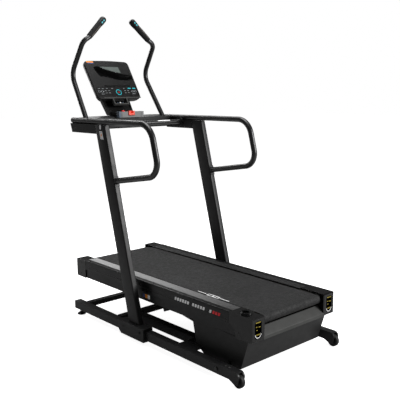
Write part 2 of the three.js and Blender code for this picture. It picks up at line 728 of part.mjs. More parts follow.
function foot() {
  const stem = 6;
  const profile = [
    [0, 0],
    [26, 0],
    [28, 3],
    [27, 8],
    [13, 13],
    [10, 20],
    [stem, 20],
    [stem, RAIL_BOTTOM + 14],
    [0, RAIL_BOTTOM + 14],
  ];
  const pad = new THREE.LatheGeometry(profile.map(([r, z]) => new THREE.Vector2(r, z)), 24);
  return pad.rotateX(Math.PI / 2).translate(SIDE_X, FOOT_Y, 0);
}

// ---------- lift arm and lift motor ----------
// Places geometry made along +Y from the origin at a side-view point, turned to a side-view angle.
const swing = (geometry, [y, z], angle) => geometry.rotateX(angle).translate(0, y, z);
const MOTOR_ANGLE = Math.atan2(CRANK_PIN[1] - MOTOR_HINGE[1], CRANK_PIN[0] - MOTOR_HINGE[0]);
const MOTOR_REACH = Math.hypot(CRANK_PIN[1] - MOTOR_HINGE[1], CRANK_PIN[0] - MOTOR_HINGE[0]);

function liftArm() {
  const angle = Math.atan2(ARM_TIP[1] - ARM_HINGE[1], ARM_TIP[0] - ARM_HINGE[0]);
  const beam = (x0) => swing(block(x0, x0 + 22, -12, ARM_LENGTH + 16, -17, 17), ARM_HINGE, angle);
  const crank = (x0) => swing(block(x0, x0 + 8, -12, CRANK + 13, -13, 13), ARM_HINGE, CRANK_ANGLE);
  return join(
    beam(85),
    beam(-107),
    crank(22),
    crank(-30),
    crossRod(ARM_HINGE, -107, 107, 16, 20),
    crossRod(ARM_TIP, -128, 128, 8, 16),
    crossRod(CRANK_PIN, -30, 30, 7, 16),
  );
}

function liftMotor() {
  const tube = rod([0, 20, 0], [0, 222, 0], 24, 20);
  const gearbox = block(-80, 26, 24, 62, -32, 26);
  const can = rod([-48, 60, -4], [-48, 182, -4], 29, 20);
  const eye = join(crossRod([0, 0], -24, 24, 17, 20), block(-24, 24, 0, 30, -15, 15));
  const solid = join(tube, gearbox, can, eye);
  const bore = rod([0, 70, 0], [0, 230, 0], 12.7, 20);
  return swing(cut(solid, bore, crossRod([0, 0], -30, 30, 8 + GAP, 20)), MOTOR_HINGE, MOTOR_ANGLE);
}

function liftTube() {
  const stem = rod([0, 96, 0], [0, MOTOR_REACH - 10, 0], 12, 18);
  const head = crossRod([MOTOR_REACH, 0], -12, 12, 19, 24);
  const eye = cut(join(stem, head), crossRod([MOTOR_REACH, 0], -20, 20, 11, 20));
  return swing(eye, MOTOR_HINGE, MOTOR_ANGLE);
}

// ---------- running deck ----------
// The lug's slot lies on a line through the deck pivot, so the arm's tip follows it exactly.
function slotLug(x0) {
  const line = Math.atan2(ARM_TIP[1] - PIVOT[1], ARM_TIP[0] - PIVOT[0]);
  const hinge = Math.atan2(ARM_HINGE[1] - PIVOT[1], ARM_HINGE[0] - PIVOT[0]);
  const reach = (tilt) => 2 * ARM_LENGTH * Math.cos(line + tilt - hinge);
  const travel = reach(0) - reach(INCLINE);
  const [y, z] = ARM_TIP;
  const plate = sidePlate([[y - 94, z - 32], [y + 24, z - 18], [y + 24, 245], [y - 94, 245]], x0, x0 + 8);
  const r = 8.7;
  const pin = crossRod([0, 0], x0 - 5, x0 + 13, r, 20);
  const far = crossRod([-travel, 0], x0 - 5, x0 + 13, r, 20);
  const slot = join(pin, far, block(x0 - 5, x0 + 13, -travel, 0, -r, r));
  return cut(plate, swing(slot, ARM_TIP, line));
}

const MEMBERS = [632, 350, 40, -330]; // cross members of the deck frame, y of their centre lines

function deckFrame() {
  const s = SIDE_TUBE;
  const side = (sign) => {
    const x0 = sign > 0 ? s.inn : -s.out;
    const x1 = sign > 0 ? s.out : -s.inn;
    const outer = sign * (s.inn + 4); // outer face of the thin web that carries the board
    const inner = outer - 3 * sign;
    const lip = outer + 18 * sign;
    const high = BOARD.bottom - 2;
    const across = (a, b, z0, z1) => block(Math.min(a, b), Math.max(a, b), s.rear, s.front, z0, z1);
    return [
      boxTube(x0, x1, s.rear, s.front, s.bottom, s.top, "y"),
      across(outer, inner, s.top - 1, high),
      across(inner, lip, high - 3, high),
    ];
  };
  const member = (y) => boxTube(-s.inn - 1, s.inn + 1, y - 20, y + 20, 241, 281, "x");
  const lugProfile = [
    [-745, s.bottom + 1],
    [-640, s.bottom + 1],
    [-655, 120],
    [-678, 50],
    [-724, 50],
    [-740, 120],
  ];
  const pivotLug = (x0) => sidePlate(lugProfile, x0, x0 + 8);
  const shelf = block(-300, 300, -668, -556, 72, 78);
  const shelfEnd = (x0) => sidePlate([[-690, 66], [-556, 66], [-556, 78], [-650, 130]], x0, x0 + 8);
  const solid = join(
    ...side(1),
    ...side(-1),
    ...MEMBERS.map(member),
    slotLug(115),
    slotLug(-123),
    pivotLug(299),
    pivotLug(-307),
    shelf,
    shelfEnd(299),
    shelfEnd(-307),
  );
  const drain = (y) => rod([180, y, 230], [180, y, 260], 5, 10);
  return cut(solid, crossRod(PIVOT, -330, 330, PIVOT_R + GAP, 24), ...MEMBERS.map(drain));
}

function footRail() {
  const t = 6;
  const x0 = FOOTRAIL_IN;
  const x1 = DECK_HALF;
  const top = DECK_TOP;
  const profile = [
    [x0, top - 9], [x0 + 4, top - 9], [x0 + 4, top - 5], [x1 - t, top - 5], [x1 - t, SKIRT_BOTTOM],
    [x1, SKIRT_BOTTOM], [x1, top - 4], [x1 - 4, top], [x0 + 4, top], [x0, top - 3],
  ];
  return frontPlate(profile, REAR_CAP_Y + GAP, FRONT_CAP_Y - GAP);
}

// A closed band around rollers, each a (y, z) centre and a radius: the outline round them all,
// less the same outline one thickness inside it.
function band(rollers, thickness, x0, x1) {
  const around = (extra, past) => {
    const rods = rollers.map(([at, radius]) => crossRod(at, x0 - past, x1 + past, radius + extra, 28));
    return wasm.Manifold.hull(rods.map(solidOf));
  };
  return geometryOf(around(GAP + thickness, 0).subtract(around(GAP, 3)));
}

function runningBoard() {
  const { half, rear, front, bottom, top } = BOARD;
  return block(-half, half, rear, front, bottom, top);
}

function runningBelt() {
  const rear = [[REAR_ROLLER_Y, ROLLER_Z], ROLLER_R];
  const boardEdge = [[BOARD.front + 4, ROLLER_Z], ROLLER_R];
  const front = [[FRONT_ROLLER_Y, FRONT_ROLLER_Z], ROLLER_R];
  return band([rear, boardEdge, front], BELT_T, -BELT_HALF, BELT_HALF);
}

function roller(at, withPulley) {
  const barrel = crossRod(at, -240, 240, ROLLER_R, 32);
  const shaft = crossRod(at, -288, 288, 8, 14);
  if (!withPulley) return join(barrel, shaft);
  const pulley = crossRod(at, -DRIVE_PLANE - PULLEY_W, -DRIVE_PLANE, ROLLER_PULLEY_R, 28);
  return join(barrel, shaft, pulley);
}

function frontCap() {
  const y0 = FRONT_CAP_Y;
  const y1 = DECK_FRONT;
  const top = DECK_TOP - 3;
  const bottom = CAP_BOTTOM + 4;
  const profile = [
    [y0, bottom],
    [y1 - 6, bottom],
    [y1, bottom + 6],
    [y1, top - 6],
    [y1 - 6, top],
    [y0, top],
  ];
  const outer = sidePlate(profile, CAP_IN, DECK_HALF);
  const w = CAP_WALL;
  return cut(outer, block(CAP_IN - 5, DECK_HALF - w, y0 - 5, y1 - w - 4, bottom + w, top - w));
}

function rearCap(isLeft) {
  const shape = new THREE.Shape();
  const lowFront = -759;
  const round = REAR_CAP_Y - lowFront;
  shape.moveTo(DECK_REAR, CAP_BOTTOM + 6);
  shape.lineTo(DECK_REAR, DECK_TOP - 6);
  shape.lineTo(DECK_REAR + 6, DECK_TOP);
  shape.lineTo(REAR_CAP_Y, DECK_TOP);
  shape.lineTo(REAR_CAP_Y, SKIRT_BOTTOM);
  shape.absellipse(REAR_CAP_Y, CAP_BOTTOM, round, SKIRT_BOTTOM - CAP_BOTTOM, 0.5 * Math.PI, Math.PI, false);
  shape.lineTo(DECK_REAR + 6, CAP_BOTTOM);
  const outer = sidePlate(shape, CAP_IN, DECK_HALF);
  const w = CAP_WALL;
  const [x0, x1] = [CAP_IN - 5, DECK_HALF - w];
  const hollow = block(x0, x1, DECK_REAR + w, REAR_CAP_Y + 60, CAP_BOTTOM - 5, DECK_TOP - w);
  const shell = cut(outer, hollow);
  if (!isLeft) return shell;
  const boss = rod([290, -792, DECK_TOP - 3], [290, -792, DECK_TOP + 9], 34, 28, 30);
  const dish = rod([296, -788, DECK_TOP + 1], [296, -788, DECK_TOP + 20], 24, 28);
  return join(shell, cut(boss, dish));
}

function rearCover() {
  const t = 4;
  const y = DECK_REAR;
  const profile = [
    [y, CAP_BOTTOM + GAP],
    [y, 243],
    [y + 40, 281],
    [y + 44, 281],
    [y + 44, 281 - t],
    [y + t, 241],
    [y + t, CAP_BOTTOM + GAP],
  ];
  return sidePlate(profile, GAP - CAP_IN, CAP_IN - GAP);
}

const HOUSING = [[-411, 230.5], [-440, 100], [-520, 40], [-715, 40], [-785, 57], [-836, 222]];

function motorHousing() {
  const half = 319;
  const t = 3;
  const inner = [
    [-408, 260],
    [-443, 101],
    [-521, 43],
    [-714, 43],
    [-782, 60],
    [-836, 235],
    [-836, 260],
  ];
  const shell = cut(sidePlate(HOUSING, -half, half), sidePlate(inner, t - half, half - t));
  return cut(shell, crossRod(PIVOT, -half - 5, half + 5, PIVOT_R + 3, 20));
}

function driveMotor() {
  const body = crossRod(DRIVE_MOTOR, -150, 90, 56, 28);
  const end = crossRod(DRIVE_MOTOR, -180, -149, 46, 24);
  const feet = block(-120, 60, DRIVE_MOTOR[0] - 45, DRIVE_MOTOR[0] + 45, 78 + GAP, 95);
  return cut(join(body, end, feet), crossRod(DRIVE_MOTOR, -190, -120, 9, 18));
}

function motorRotor() {
  const shaft = crossRod(DRIVE_MOTOR, -DRIVE_PLANE - PULLEY_W - 4, -124, 8, 16);
  const pulley = crossRod(DRIVE_MOTOR, -DRIVE_PLANE - PULLEY_W, -DRIVE_PLANE, MOTOR_PULLEY_R, 24);
  const flywheel = crossRod(DRIVE_MOTOR, -222, -196, 44, 28);
  return join(shaft, pulley, flywheel);
}

function driveBelt() {
  const driven = [[REAR_ROLLER_Y, ROLLER_Z], ROLLER_PULLEY_R];
  const driver = [DRIVE_MOTOR, MOTOR_PULLEY_R];
  return band([driven, driver], 3, -DRIVE_PLANE - PULLEY_W + 1, -DRIVE_PLANE - 1);
}

// The inlet and the rocker switch sit on the housing's sloping front face.
const INLET_TILT = -Math.atan2(HOUSING[0][0] - HOUSING[1][0], HOUSING[0][1] - HOUSING[1][1]);
const INLET_AT = [(HOUSING[0][0] + HOUSING[1][0]) / 2, (HOUSING[0][1] + HOUSING[1][1]) / 2];
const SWITCH_X = -215;

function powerInlet() {
  const plate = block(-250, -160, GAP, 9, -30, 34);
  const plug = block(-226, -204, 4, 15, -22, -4);
  const well = block(SWITCH_X - 12, SWITCH_X + 12, 2.5, 15, 8, 28);
  return swing(cut(plate, plug, well), INLET_AT, INLET_TILT);
}

// A rocker that tips about its middle: its lower half stands proud when the switch is off.
function powerSwitch() {
  const profile = [[-2.8, -8], [3, -8.5], [-0.6, 0], [-0.6, 8.5], [-2.8, 8.5]];
  const rocker = sidePlate(profile, SWITCH_X - 11, SWITCH_X + 11).translate(0, 9, 18);
  return swing(rocker, INLET_AT, INLET_TILT);
}

// ---------- assembly ----------
addPair("base_rail", baseRail(), frameBlack);
add("front_cross_tube", crossTube(FRONT_CROSS_Y, CROSS_DEPTH, CROSS_BOTTOM, CROSS_TOP), frameBlack());
add("mid_cross_tube", midCrossTube(), frameBlack());
add("lift_subframe", liftSubframe(), frameBlack());
addPair("upright_socket", socket(), frameBlack);
addPair("upright", upright(), frameBlack);
addPair("handrail", handrail(), frameBlack);
add("console_frame", consoleFrame(), plasticBlack());
add("hand_cross_tube", handCrossTube(), frameBlack());
addPair("climb_bar", climbBar(), frameBlack);
addPair("grip", grip(), rubberBlack);
addPair("grip_button_up", gripButton(BUTTON_BACK[0]), cyan);
addPair("grip_button_down", gripButton(BUTTON_BACK[1]), cyan);

add("console_neck", consoleNeck(), plasticBlack());
add("console_shell", consoleShell(), plasticBlack(), console3d);
add("console_fascia", consoleFascia(), plasticBlack(), console3d);
add("display_lens", displayLens(), paint(0x101214, 0.1, 0), console3d);
add("keypad", keypad(), plasticBlack(), console3d);
add("port_bezel", portBezel(), paint(0x47494a, 0.5, 0), console3d);
add("start_button", startButton(), cyan(), console3d);
add("speed_key", quickKey(QUICK_KEYS[0]), cyan(), console3d);
add("incline_key", quickKey(QUICK_KEYS[1]), cyan(), console3d);
add("safety_module", safetyModule(), silver());
add("stop_button", stopButton(), red());
add("safety_key", safetyKey(), red());

addPair("wheel", wheel(), rubberBlack);
addPair("foot", foot(), rubberBlack);
add("pivot_shaft", crossRod(PIVOT, -BASE_HALF - 6, BASE_HALF + 6, PIVOT_R, 20), steel());
add("lift_arm", liftArm(), frameBlack());
add("lift_motor", liftMotor(), paint(0x3a3c3e, 0.4, 0.6));
add("lift_tube", liftTube(), steel());

add("deck_frame", deckFrame(), frameBlack());
addPair("foot_rail", footRail(), () => paint(0x55575a, 0.6, 0.2));
add("running_board", runningBoard(), paint(0x3b332a, 0.6, 0));
add("running_belt", runningBelt(), rubberBlack());
add("front_roller", roller([FRONT_ROLLER_Y, FRONT_ROLLER_Z], false), steel());
add("drive_roller", roller([REAR_ROLLER_Y, ROLLER_Z], true), steel());
addPair("front_cap", frontCap(), plasticBlack);
add("right_rear_cap", rearCap(false), plasticBlack());
add("left_rear_cap", geometryOf(solidOf(rearCap(true)).mirror([1, 0, 0])), plasticBlack());
add("rear_cover", rearCover(), paint(0x55585a, 0.5, 0));
add("motor_housing", motorHousing(), frameBlack());
add("drive_motor", driveMotor(), paint(0x3a3c3e, 0.4, 0.6));
add("motor_rotor", motorRotor(), steel());
add("drive_belt", driveBelt(), rubberBlack());
add("power_inlet", powerInlet(), plasticBlack());
add("power_switch", powerSwitch(), red());

export default group;
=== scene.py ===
"""Finished look of a motorised incline treadmill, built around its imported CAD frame. Metres, +Z up."""

import json
import math

import bmesh
import bpy
from mathutils import Matrix, Vector


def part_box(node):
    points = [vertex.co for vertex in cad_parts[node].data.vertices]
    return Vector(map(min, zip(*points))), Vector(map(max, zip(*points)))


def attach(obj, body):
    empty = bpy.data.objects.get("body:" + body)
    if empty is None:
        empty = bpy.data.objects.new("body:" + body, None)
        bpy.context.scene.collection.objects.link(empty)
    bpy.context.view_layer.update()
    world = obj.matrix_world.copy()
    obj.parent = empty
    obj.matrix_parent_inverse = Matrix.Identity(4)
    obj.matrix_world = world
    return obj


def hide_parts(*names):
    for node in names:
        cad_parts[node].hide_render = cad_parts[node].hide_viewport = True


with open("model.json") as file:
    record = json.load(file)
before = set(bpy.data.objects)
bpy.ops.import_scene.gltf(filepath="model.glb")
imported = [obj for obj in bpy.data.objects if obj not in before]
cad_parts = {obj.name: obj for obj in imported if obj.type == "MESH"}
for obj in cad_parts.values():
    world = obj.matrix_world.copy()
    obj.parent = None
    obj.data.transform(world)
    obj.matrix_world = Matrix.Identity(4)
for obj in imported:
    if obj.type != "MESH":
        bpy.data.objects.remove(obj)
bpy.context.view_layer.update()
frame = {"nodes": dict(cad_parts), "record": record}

MM = 0.001
SIDES = {"left": -1, "right": 1}


def low(node):
    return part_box(node)[0]


def high(node):
    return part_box(node)[1]


def middle(node):
    return (low(node) + high(node)) / 2


# ---------- materials ----------
def linear(level):
    """A screen grey level or colour, 0 to 1, as linear light."""
    if isinstance(level, (int, float)):
        level = (level,) * 3
    return tuple(c / 12.92 if c <= 0.04045 else ((c + 0.055) / 1.055) ** 2.4 for c in level)


class Surface:
    """A Principled material whose colour, roughness and bump come from procedural nodes in object space."""

    def __init__(self, name, roughness, metallic=0.0, coat=0.0, specular=0.3):
        self.material = bpy.data.materials.new(name)
        self.material.use_nodes = True
        self.nodes = self.material.node_tree.nodes
        self.links = self.material.node_tree.links
        self.shader = self.nodes["Principled BSDF"]
        self.shader.inputs["Roughness"].default_value = roughness
        self.shader.inputs["Metallic"].default_value = metallic
        self.shader.inputs["Coat Weight"].default_value = coat
        self.shader.inputs["Coat Roughness"].default_value = 0.08
        self.shader.inputs["Specular IOR Level"].default_value = specular
        self.coordinates = self.nodes.new("ShaderNodeTexCoord").outputs["Object"]
        self.height = None

    def stretched(self, scale):
        mapping = self.nodes.new("ShaderNodeMapping")
        mapping.inputs["Scale"].default_value = scale
        self.links.new(self.coordinates, mapping.inputs["Vector"])
        return mapping.outputs["Vector"]

    def noise(self, size, detail=3.0, stretch=(1, 1, 1)):
        """Noise whose features are about size metres across."""
        texture = self.nodes.new("ShaderNodeTexNoise")
        texture.inputs["Scale"].default_value = 1 / size
        texture.inputs["Detail"].default_value = detail
        self.links.new(self.stretched(stretch), texture.inputs["Vector"])
        return texture.outputs["Fac"]

    def cells(self, size, stretch=(1, 1, 1)):
        texture = self.nodes.new("ShaderNodeTexVoronoi")
        texture.inputs["Scale"].default_value = 1 / size
        self.links.new(self.stretched(stretch), texture.inputs["Vector"])
        return texture.outputs["Distance"]

    def waves(self, size, direction):
        texture = self.nodes.new("ShaderNodeTexWave")
        texture.bands_direction = direction
        texture.inputs["Scale"].default_value = math.pi / (10 * size)
        self.links.new(self.coordinates, texture.inputs["Vector"])
        return texture.outputs["Fac"]

    def ranged(self, value, low_out, high_out, low_in=0.3, high_in=0.7):
        node = self.nodes.new("ShaderNodeMapRange")
        for name, number in (
            ("From Min", low_in),
            ("From Max", high_in),
            ("To Min", low_out),
            ("To Max", high_out),
        ):
            node.inputs[name].default_value = number
        self.links.new(value, node.inputs["Value"])
        return node.outputs["Result"]

    def maths(self, operation, a, b):
        node = self.nodes.new("ShaderNodeMath")
        node.operation = operation
        for socket, value in zip(node.inputs, (a, b)):
            if isinstance(value, (int, float)):
                socket.default_value = value
            else:
                self.links.new(value, socket)
        return node.outputs["Value"]

    def mixed(self, factor, first, second):
        node = self.nodes.new("ShaderNodeMix")
        node.data_type = "RGBA"
        self.links.new(factor, node.inputs["Factor"])
        for socket, value in ((node.inputs[6], first), (node.inputs[7], second)):
            if isinstance(value, tuple):
                socket.default_value = (*value, 1)
            else:
                self.links.new(value, socket)
        return node.outputs[2]

    def worn_edges(self, radius):
        """1 on worn outer edges, 0 elsewhere: where a rounded normal leaves the true one."""
        bevel = self.nodes.new("ShaderNodeBevel")
        bevel.samples = 4
        bevel.inputs["Radius"].default_value = radius
        geometry = self.nodes.new("ShaderNodeNewGeometry")
        dot = self.nodes.new("ShaderNodeVectorMath")
        dot.operation = "DOT_PRODUCT"
        self.links.new(bevel.outputs["Normal"], dot.inputs[0])
        self.links.new(geometry.outputs["Normal"], dot.inputs[1])
        return self.ranged(dot.outputs["Value"], 1, 0, 0.75, 0.985)

    def colour(self, value):
        self.links.new(value, self.shader.inputs["Base Color"])

    def rough(self, value):
        self.links.new(value, self.shader.inputs["Roughness"])

    def bumped(self, height, strength, distance):
        bump = self.nodes.new("ShaderNodeBump")
        bump.inputs["Strength"].default_value = strength
        bump.inputs["Distance"].default_value = distance
        self.links.new(height, bump.inputs["Height"])
        if self.height is not None:
            self.links.new(self.height, bump.inputs["Normal"])
        self.height = bump.outputs["Normal"]
        self.links.new(self.height, self.shader.inputs["Normal"])


def powder_coat(name, level, tint=(1.0, 1.01, 1.05), roughness=0.42, worn=True, specular=0.3):
    """Satin black powder coat: orange peel, faint clouding, and brighter rubbed edges where it is worn."""
    s = Surface(name, roughness, specular=specular)
    base = tuple(c * t for c, t in zip(linear(level), tint))
    lighter = tuple(c * 1.35 for c in base)
    edge = tuple(c * 2.0 + 0.004 for c in base)
    clouded = s.mixed(s.ranged(s.noise(0.09), 0, 1), base, lighter)
    if worn:
        clouded = s.mixed(s.maths("MULTIPLY", s.worn_edges(1.6 * MM), s.noise(0.012)), clouded, edge)
    s.colour(clouded)
    s.rough(s.ranged(s.noise(0.05), roughness - 0.02, roughness + 0.05))
    s.bumped(s.noise(0.003, 1.0), 0.06, 0.04 * MM)
    return s.material


def moulded(name, level, roughness=0.45, coat=0.0, grain=0.0009, tint=(1, 1, 1)):
    """Moulded plastic with a fine spark-eroded grain."""
    s = Surface(name, roughness, coat=coat)
    base = tuple(c * t for c, t in zip(linear(level), tint))
    s.colour(s.mixed(s.ranged(s.noise(0.06, 4.0), 0, 1), base, tuple(c * 1.3 + 0.0006 for c in base)))
    s.rough(s.ranged(s.noise(0.04, 2.0), roughness - 0.02, roughness + 0.04))
    s.bumped(s.cells(grain), 0.1, 0.05 * MM)
    return s.material


def gloss(name, colour, roughness=0.12, depth=1.25, coat=0.6, specular=0.3):
    """Smooth glossy plastic, with the faint flow marks of its moulding."""
    s = Surface(name, roughness, coat=coat, specular=specular)
    base = linear(colour)
    s.colour(s.mixed(s.ranged(s.noise(0.02), 0, 1), base, tuple(min(1.0, c * depth) for c in base)))
    s.rough(s.ranged(s.noise(0.01), roughness, roughness + 0.07))
    s.bumped(s.noise(0.008, 1.0), 0.05, 0.1 * MM)
    return s.material


def rubber(name, level, roughness=0.8, grain=0.0016):
    """Matt rubber: pitted, with dusty patches."""
    s = Surface(name, roughness)
    base = linear(level)
    s.colour(s.mixed(s.ranged(s.noise(0.03), 0, 1), base, tuple(c * 1.6 for c in base)))
    s.rough(s.ranged(s.noise(0.008), roughness - 0.1, roughness + 0.06))
    s.bumped(s.cells(grain), 0.5, 0.25 * MM)
    return s.material


def belt_cloth():
    """PVC running belt: a fine diamond emboss over a woven backing, scuffed in patches."""
    s = Surface("belt_surface", 0.7)
    base, dusty = linear(0.07), linear(0.19)
    weave = s.maths("MULTIPLY", s.waves(1.7 * MM, "X"), s.waves(1.7 * MM, "Y"))
    speckle = s.ranged(s.noise(0.006, 4.0), 0, 1, 0.38, 0.62)
    s.colour(s.mixed(s.maths("MULTIPLY", speckle, s.ranged(s.noise(0.12), 0.6, 0.95)), base, dusty))
    s.rough(s.ranged(s.noise(0.02), 0.6, 0.78))
    s.bumped(weave, 0.4, 0.3 * MM)
    s.bumped(s.noise(0.0018, 2.0), 0.3, 0.15 * MM)
    return s.material


def ribbed_cover(name, rear_level, front_level):
    """Satin foot-rail cover, brushed along its length, with painted light and shade: its tone ramps from one
    level at the rear end to another at the front.
    """
    s = Surface(name, 0.5)
    brushed = s.noise(0.0012, 3.0, stretch=(1, 0.03, 1))
    place = s.nodes.new("ShaderNodeSeparateXYZ")
    s.links.new(s.coordinates, place.inputs["Vector"])
    # Painted light and shade: this ramp along the rail carries the cover from its rear level to its front
    # level.
    along = s.ranged(place.outputs["Y"], 0, 1, -0.7, 0.5)
    base = s.mixed(along, linear(rear_level), linear(front_level))
    rear_shade = tuple(c * 0.7 for c in linear(rear_level))
    front_shade = tuple(c * 0.75 for c in linear(front_level))
    dark = s.mixed(along, rear_shade, front_shade)
    s.colour(s.mixed(s.ranged(brushed, 0, 1), dark, base))
    s.rough(s.ranged(brushed, 0.42, 0.6))
    s.bumped(s.waves(2.4 * MM, "DIAGONAL"), 0.2, 0.2 * MM)
    return s.material


def metal(name, level, roughness=0.3):
    """Turned or plated steel with fine tool marks."""
    s = Surface(name, roughness, metallic=1.0)
    base = linear(level)
    marks = s.noise(0.002, 3.0, stretch=(0.08, 1, 1))
    s.colour(s.mixed(s.ranged(marks, 0, 1), tuple(c * 0.8 for c in base), base))
    s.rough(s.ranged(marks, roughness - 0.06, roughness + 0.1))
    s.bumped(marks, 0.15, 0.05 * MM)
    return s.material


def painted_glow(name, colour, strength=0.7):
    """Coloured plastic and print with a painted glow: it gives off light of its own, though it holds no lamp.
    """
    s = Surface(name, 0.35)
    base = linear(colour)
    s.colour(s.mixed(s.ranged(s.noise(0.004), 0, 1), base, tuple(c * 0.85 for c in base)))
    # Painted glow: the emission lights the colour up of itself.
    s.shader.inputs["Emission Color"].default_value = (*base, 1)
    s.shader.inputs["Emission Strength"].default_value = strength
    return s.material


def laminate():
    """Waxed phenolic running board."""
    s = Surface("board_laminate", 0.4)
    grain = s.noise(0.004, 4.0, stretch=(1, 0.06, 1))
    s.colour(s.mixed(s.ranged(grain, 0, 1), linear((0.07, 0.065, 0.06)), linear((0.12, 0.11, 0.1))))
    s.rough(s.ranged(grain, 0.32, 0.5))
    s.bumped(grain, 0.2, 0.1 * MM)
    return s.material


frame_black = powder_coat("frame_powder_coat", 0.1, roughness=0.38)
tube_black = powder_coat("tube_powder_coat", 0.08, roughness=0.34, worn=False, specular=0.65)
skirt_black = powder_coat("side_panel_coat", 0.04, roughness=0.28, worn=False)
console_black = moulded("console_grain", 0.015)
shell_black = moulded("shell_grain", 0.05, roughness=0.4)
keypad_black = moulded("keypad_film", 0.07, roughness=0.32, grain=0.0005)
trim_grey = moulded("bezel_grain", 0.22, tint=(1, 1.02, 0.98))
cover_grey = moulded("cover_grain", 0.21, tint=(1.02, 1.03, 0.98))
cap_black = moulded("cap_grain", 0.024, roughness=0.22, coat=0.15)
housing_black = moulded("housing_grain", 0.12, roughness=0.42, grain=0.0014)
lens_black = gloss("lens_gloss", 0.02, roughness=0.05, coat=0.0, specular=0.2)
lcd_grey = moulded("lcd_glass", (0.34, 0.37, 0.355), roughness=0.22, coat=0.4, grain=0.0006)
legend_segments = moulded("lcd_segments", (0.35, 0.37, 0.365), roughness=0.25, coat=0.4, grain=0.0006)
silver_grey = moulded("module_silver", 0.46, roughness=0.36, grain=0.0007)
blue_grey = moulded("module_end_cap", (0.32, 0.37, 0.43), roughness=0.4)
signal_red = gloss("signal_red", (0.87, 0.1, 0.09), roughness=0.25)
coral_red = gloss("key_red", (1.0, 0.32, 0.24), roughness=0.3)
# These three carry a painted glow onto keys, buttons and printed legends.
cyan = painted_glow("cyan_legend", (0.2, 0.66, 0.7), 0.35)
legend_grey = painted_glow("grey_legend", (0.62, 0.64, 0.65), 0.4)
legend_red = painted_glow("red_legend", (0.85, 0.2, 0.18), 0.3)
mark_white = moulded("mark_white", 0.95, roughness=0.5, grain=0.0004)
mark_orange = moulded("mark_orange", (0.98, 0.6, 0.2), roughness=0.5, grain=0.0004)
mark_blue = moulded("mark_blue", (0.25, 0.29, 0.5), roughness=0.5, grain=0.0004)
mark_gold = moulded("mark_gold", (0.55, 0.49, 0.16), roughness=0.45, grain=0.0004)
mark_red = moulded("mark_red", (0.86, 0.16, 0.2), roughness=0.5, grain=0.0004)
grip_foam = rubber("grip_foam", 0.09)
tyre = rubber("tyre_rubber", 0.09, roughness=0.6)
belt_surface = belt_cloth()
# Painted light: the near cover grows paler towards its front, and the far one slightly darker towards its
# front.
rail_grey = ribbed_cover("foot_rail_cover", 0.3, 0.78)
rail_dark = ribbed_cover("far_rail_cover", 0.09, 0.06)
strip_steel = metal("pulse_strip_steel", (0.46, 0.44, 0.42), roughness=0.4)
bright_steel = metal("bright_steel", 0.72)
dark_steel = metal("dark_steel", 0.3, roughness=0.38)
motor_paint = powder_coat("motor_paint", 0.22, roughness=0.3)
board_black = laminate()


# ---------- mesh helpers ----------
def finish_piece(name, bm, material, body, replaces=(), bevel=0.0, segments=3, angle=32):
    """Makes a visible piece from a bmesh, rounds its sharp edges and lets it ride on its body."""
    bmesh.ops.recalc_face_normals(bm, faces=bm.faces)
    mesh = bpy.data.meshes.new(name)
    bm.to_mesh(mesh)
    bm.free()
    mesh.materials.append(material)
    for polygon in mesh.polygons:
        polygon.use_smooth = True
    if not bevel:
        mesh.set_sharp_from_angle(angle=math.radians(angle))
    obj = bpy.data.objects.new(name, mesh)
    bpy.context.scene.collection.objects.link(obj)
    if bevel:
        edges = obj.modifiers.new("rounded_edges", "BEVEL")
        edges.width = bevel
        edges.segments = segments
        edges.limit_method = "ANGLE"
        edges.angle_limit = math.radians(angle)
        shading = obj.modifiers.new("flat_faces", "WEIGHTED_NORMAL")
        shading.weight = 80
    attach(obj, body)
    if replaces:
        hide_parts(*replaces)
    return obj


def node_facts(node):
    """The body that a CAD node rides on, and its material slot."""
    record = frame["record"]
    body = next(b for b, members in record["behaviour"]["bodies"].items() if node in members)
    slot = next(s["material_slot"] for s in record["subparts"] if s["node"] == node)
    return body, slot


def refined(node, material, bevel=1.0 * MM, angle=32):
    """A finished copy of a CAD node: flat facets merged, edges rounded, curves smooth."""
    bm = bmesh.new()
    bm.from_mesh(frame["nodes"][node].data)
    bmesh.ops.remove_doubles(bm, verts=bm.verts, dist=0.01 * MM)
    flat = math.radians(0.6)
    bmesh.ops.dissolve_limit(bm, angle_limit=flat, verts=bm.verts, edges=bm.edges)
    body, slot = node_facts(node)
    return finish_piece(node + "_finish", bm, material, body, [node], bevel, 3, angle)


def loft(bm, rings, capped=True, looped=False):
    """Joins closed rings of points, all with the same count, into one skin."""
    rows = [[bm.verts.new(point) for point in ring] for ring in rings]
    count = len(rows[0])
    following = rows[1:] + ([rows[0]] if looped else [])
    for row, after in zip(rows, following):
        for i in range(count):
            j = (i + 1) % count
            bm.faces.new((row[i], row[j], after[j], after[i]))
    if capped and not looped:
        bm.faces.new(rows[0][::-1])
        bm.faces.new(rows[-1])


def circle(radius, count=32):
    turns = [2 * math.pi * i / count for i in range(count)]
    return [(radius * math.cos(a), radius * math.sin(a)) for a in turns]


def rounded(width, height, radius, steps=6, centre=(0, 0)):
    """A rounded rectangle as a list of points, anticlockwise."""
    points = []
    for quarter, (sx, sy) in enumerate(((1, 1), (-1, 1), (-1, -1), (1, -1))):
        for i in range(steps + 1):
            a = math.pi / 2 * (quarter + i / steps)
            x = sx * (width / 2 - radius) + radius * math.cos(a)
            y = sy * (height / 2 - radius) + radius * math.sin(a)
            points.append((centre[0] + x, centre[1] + y))
    return points


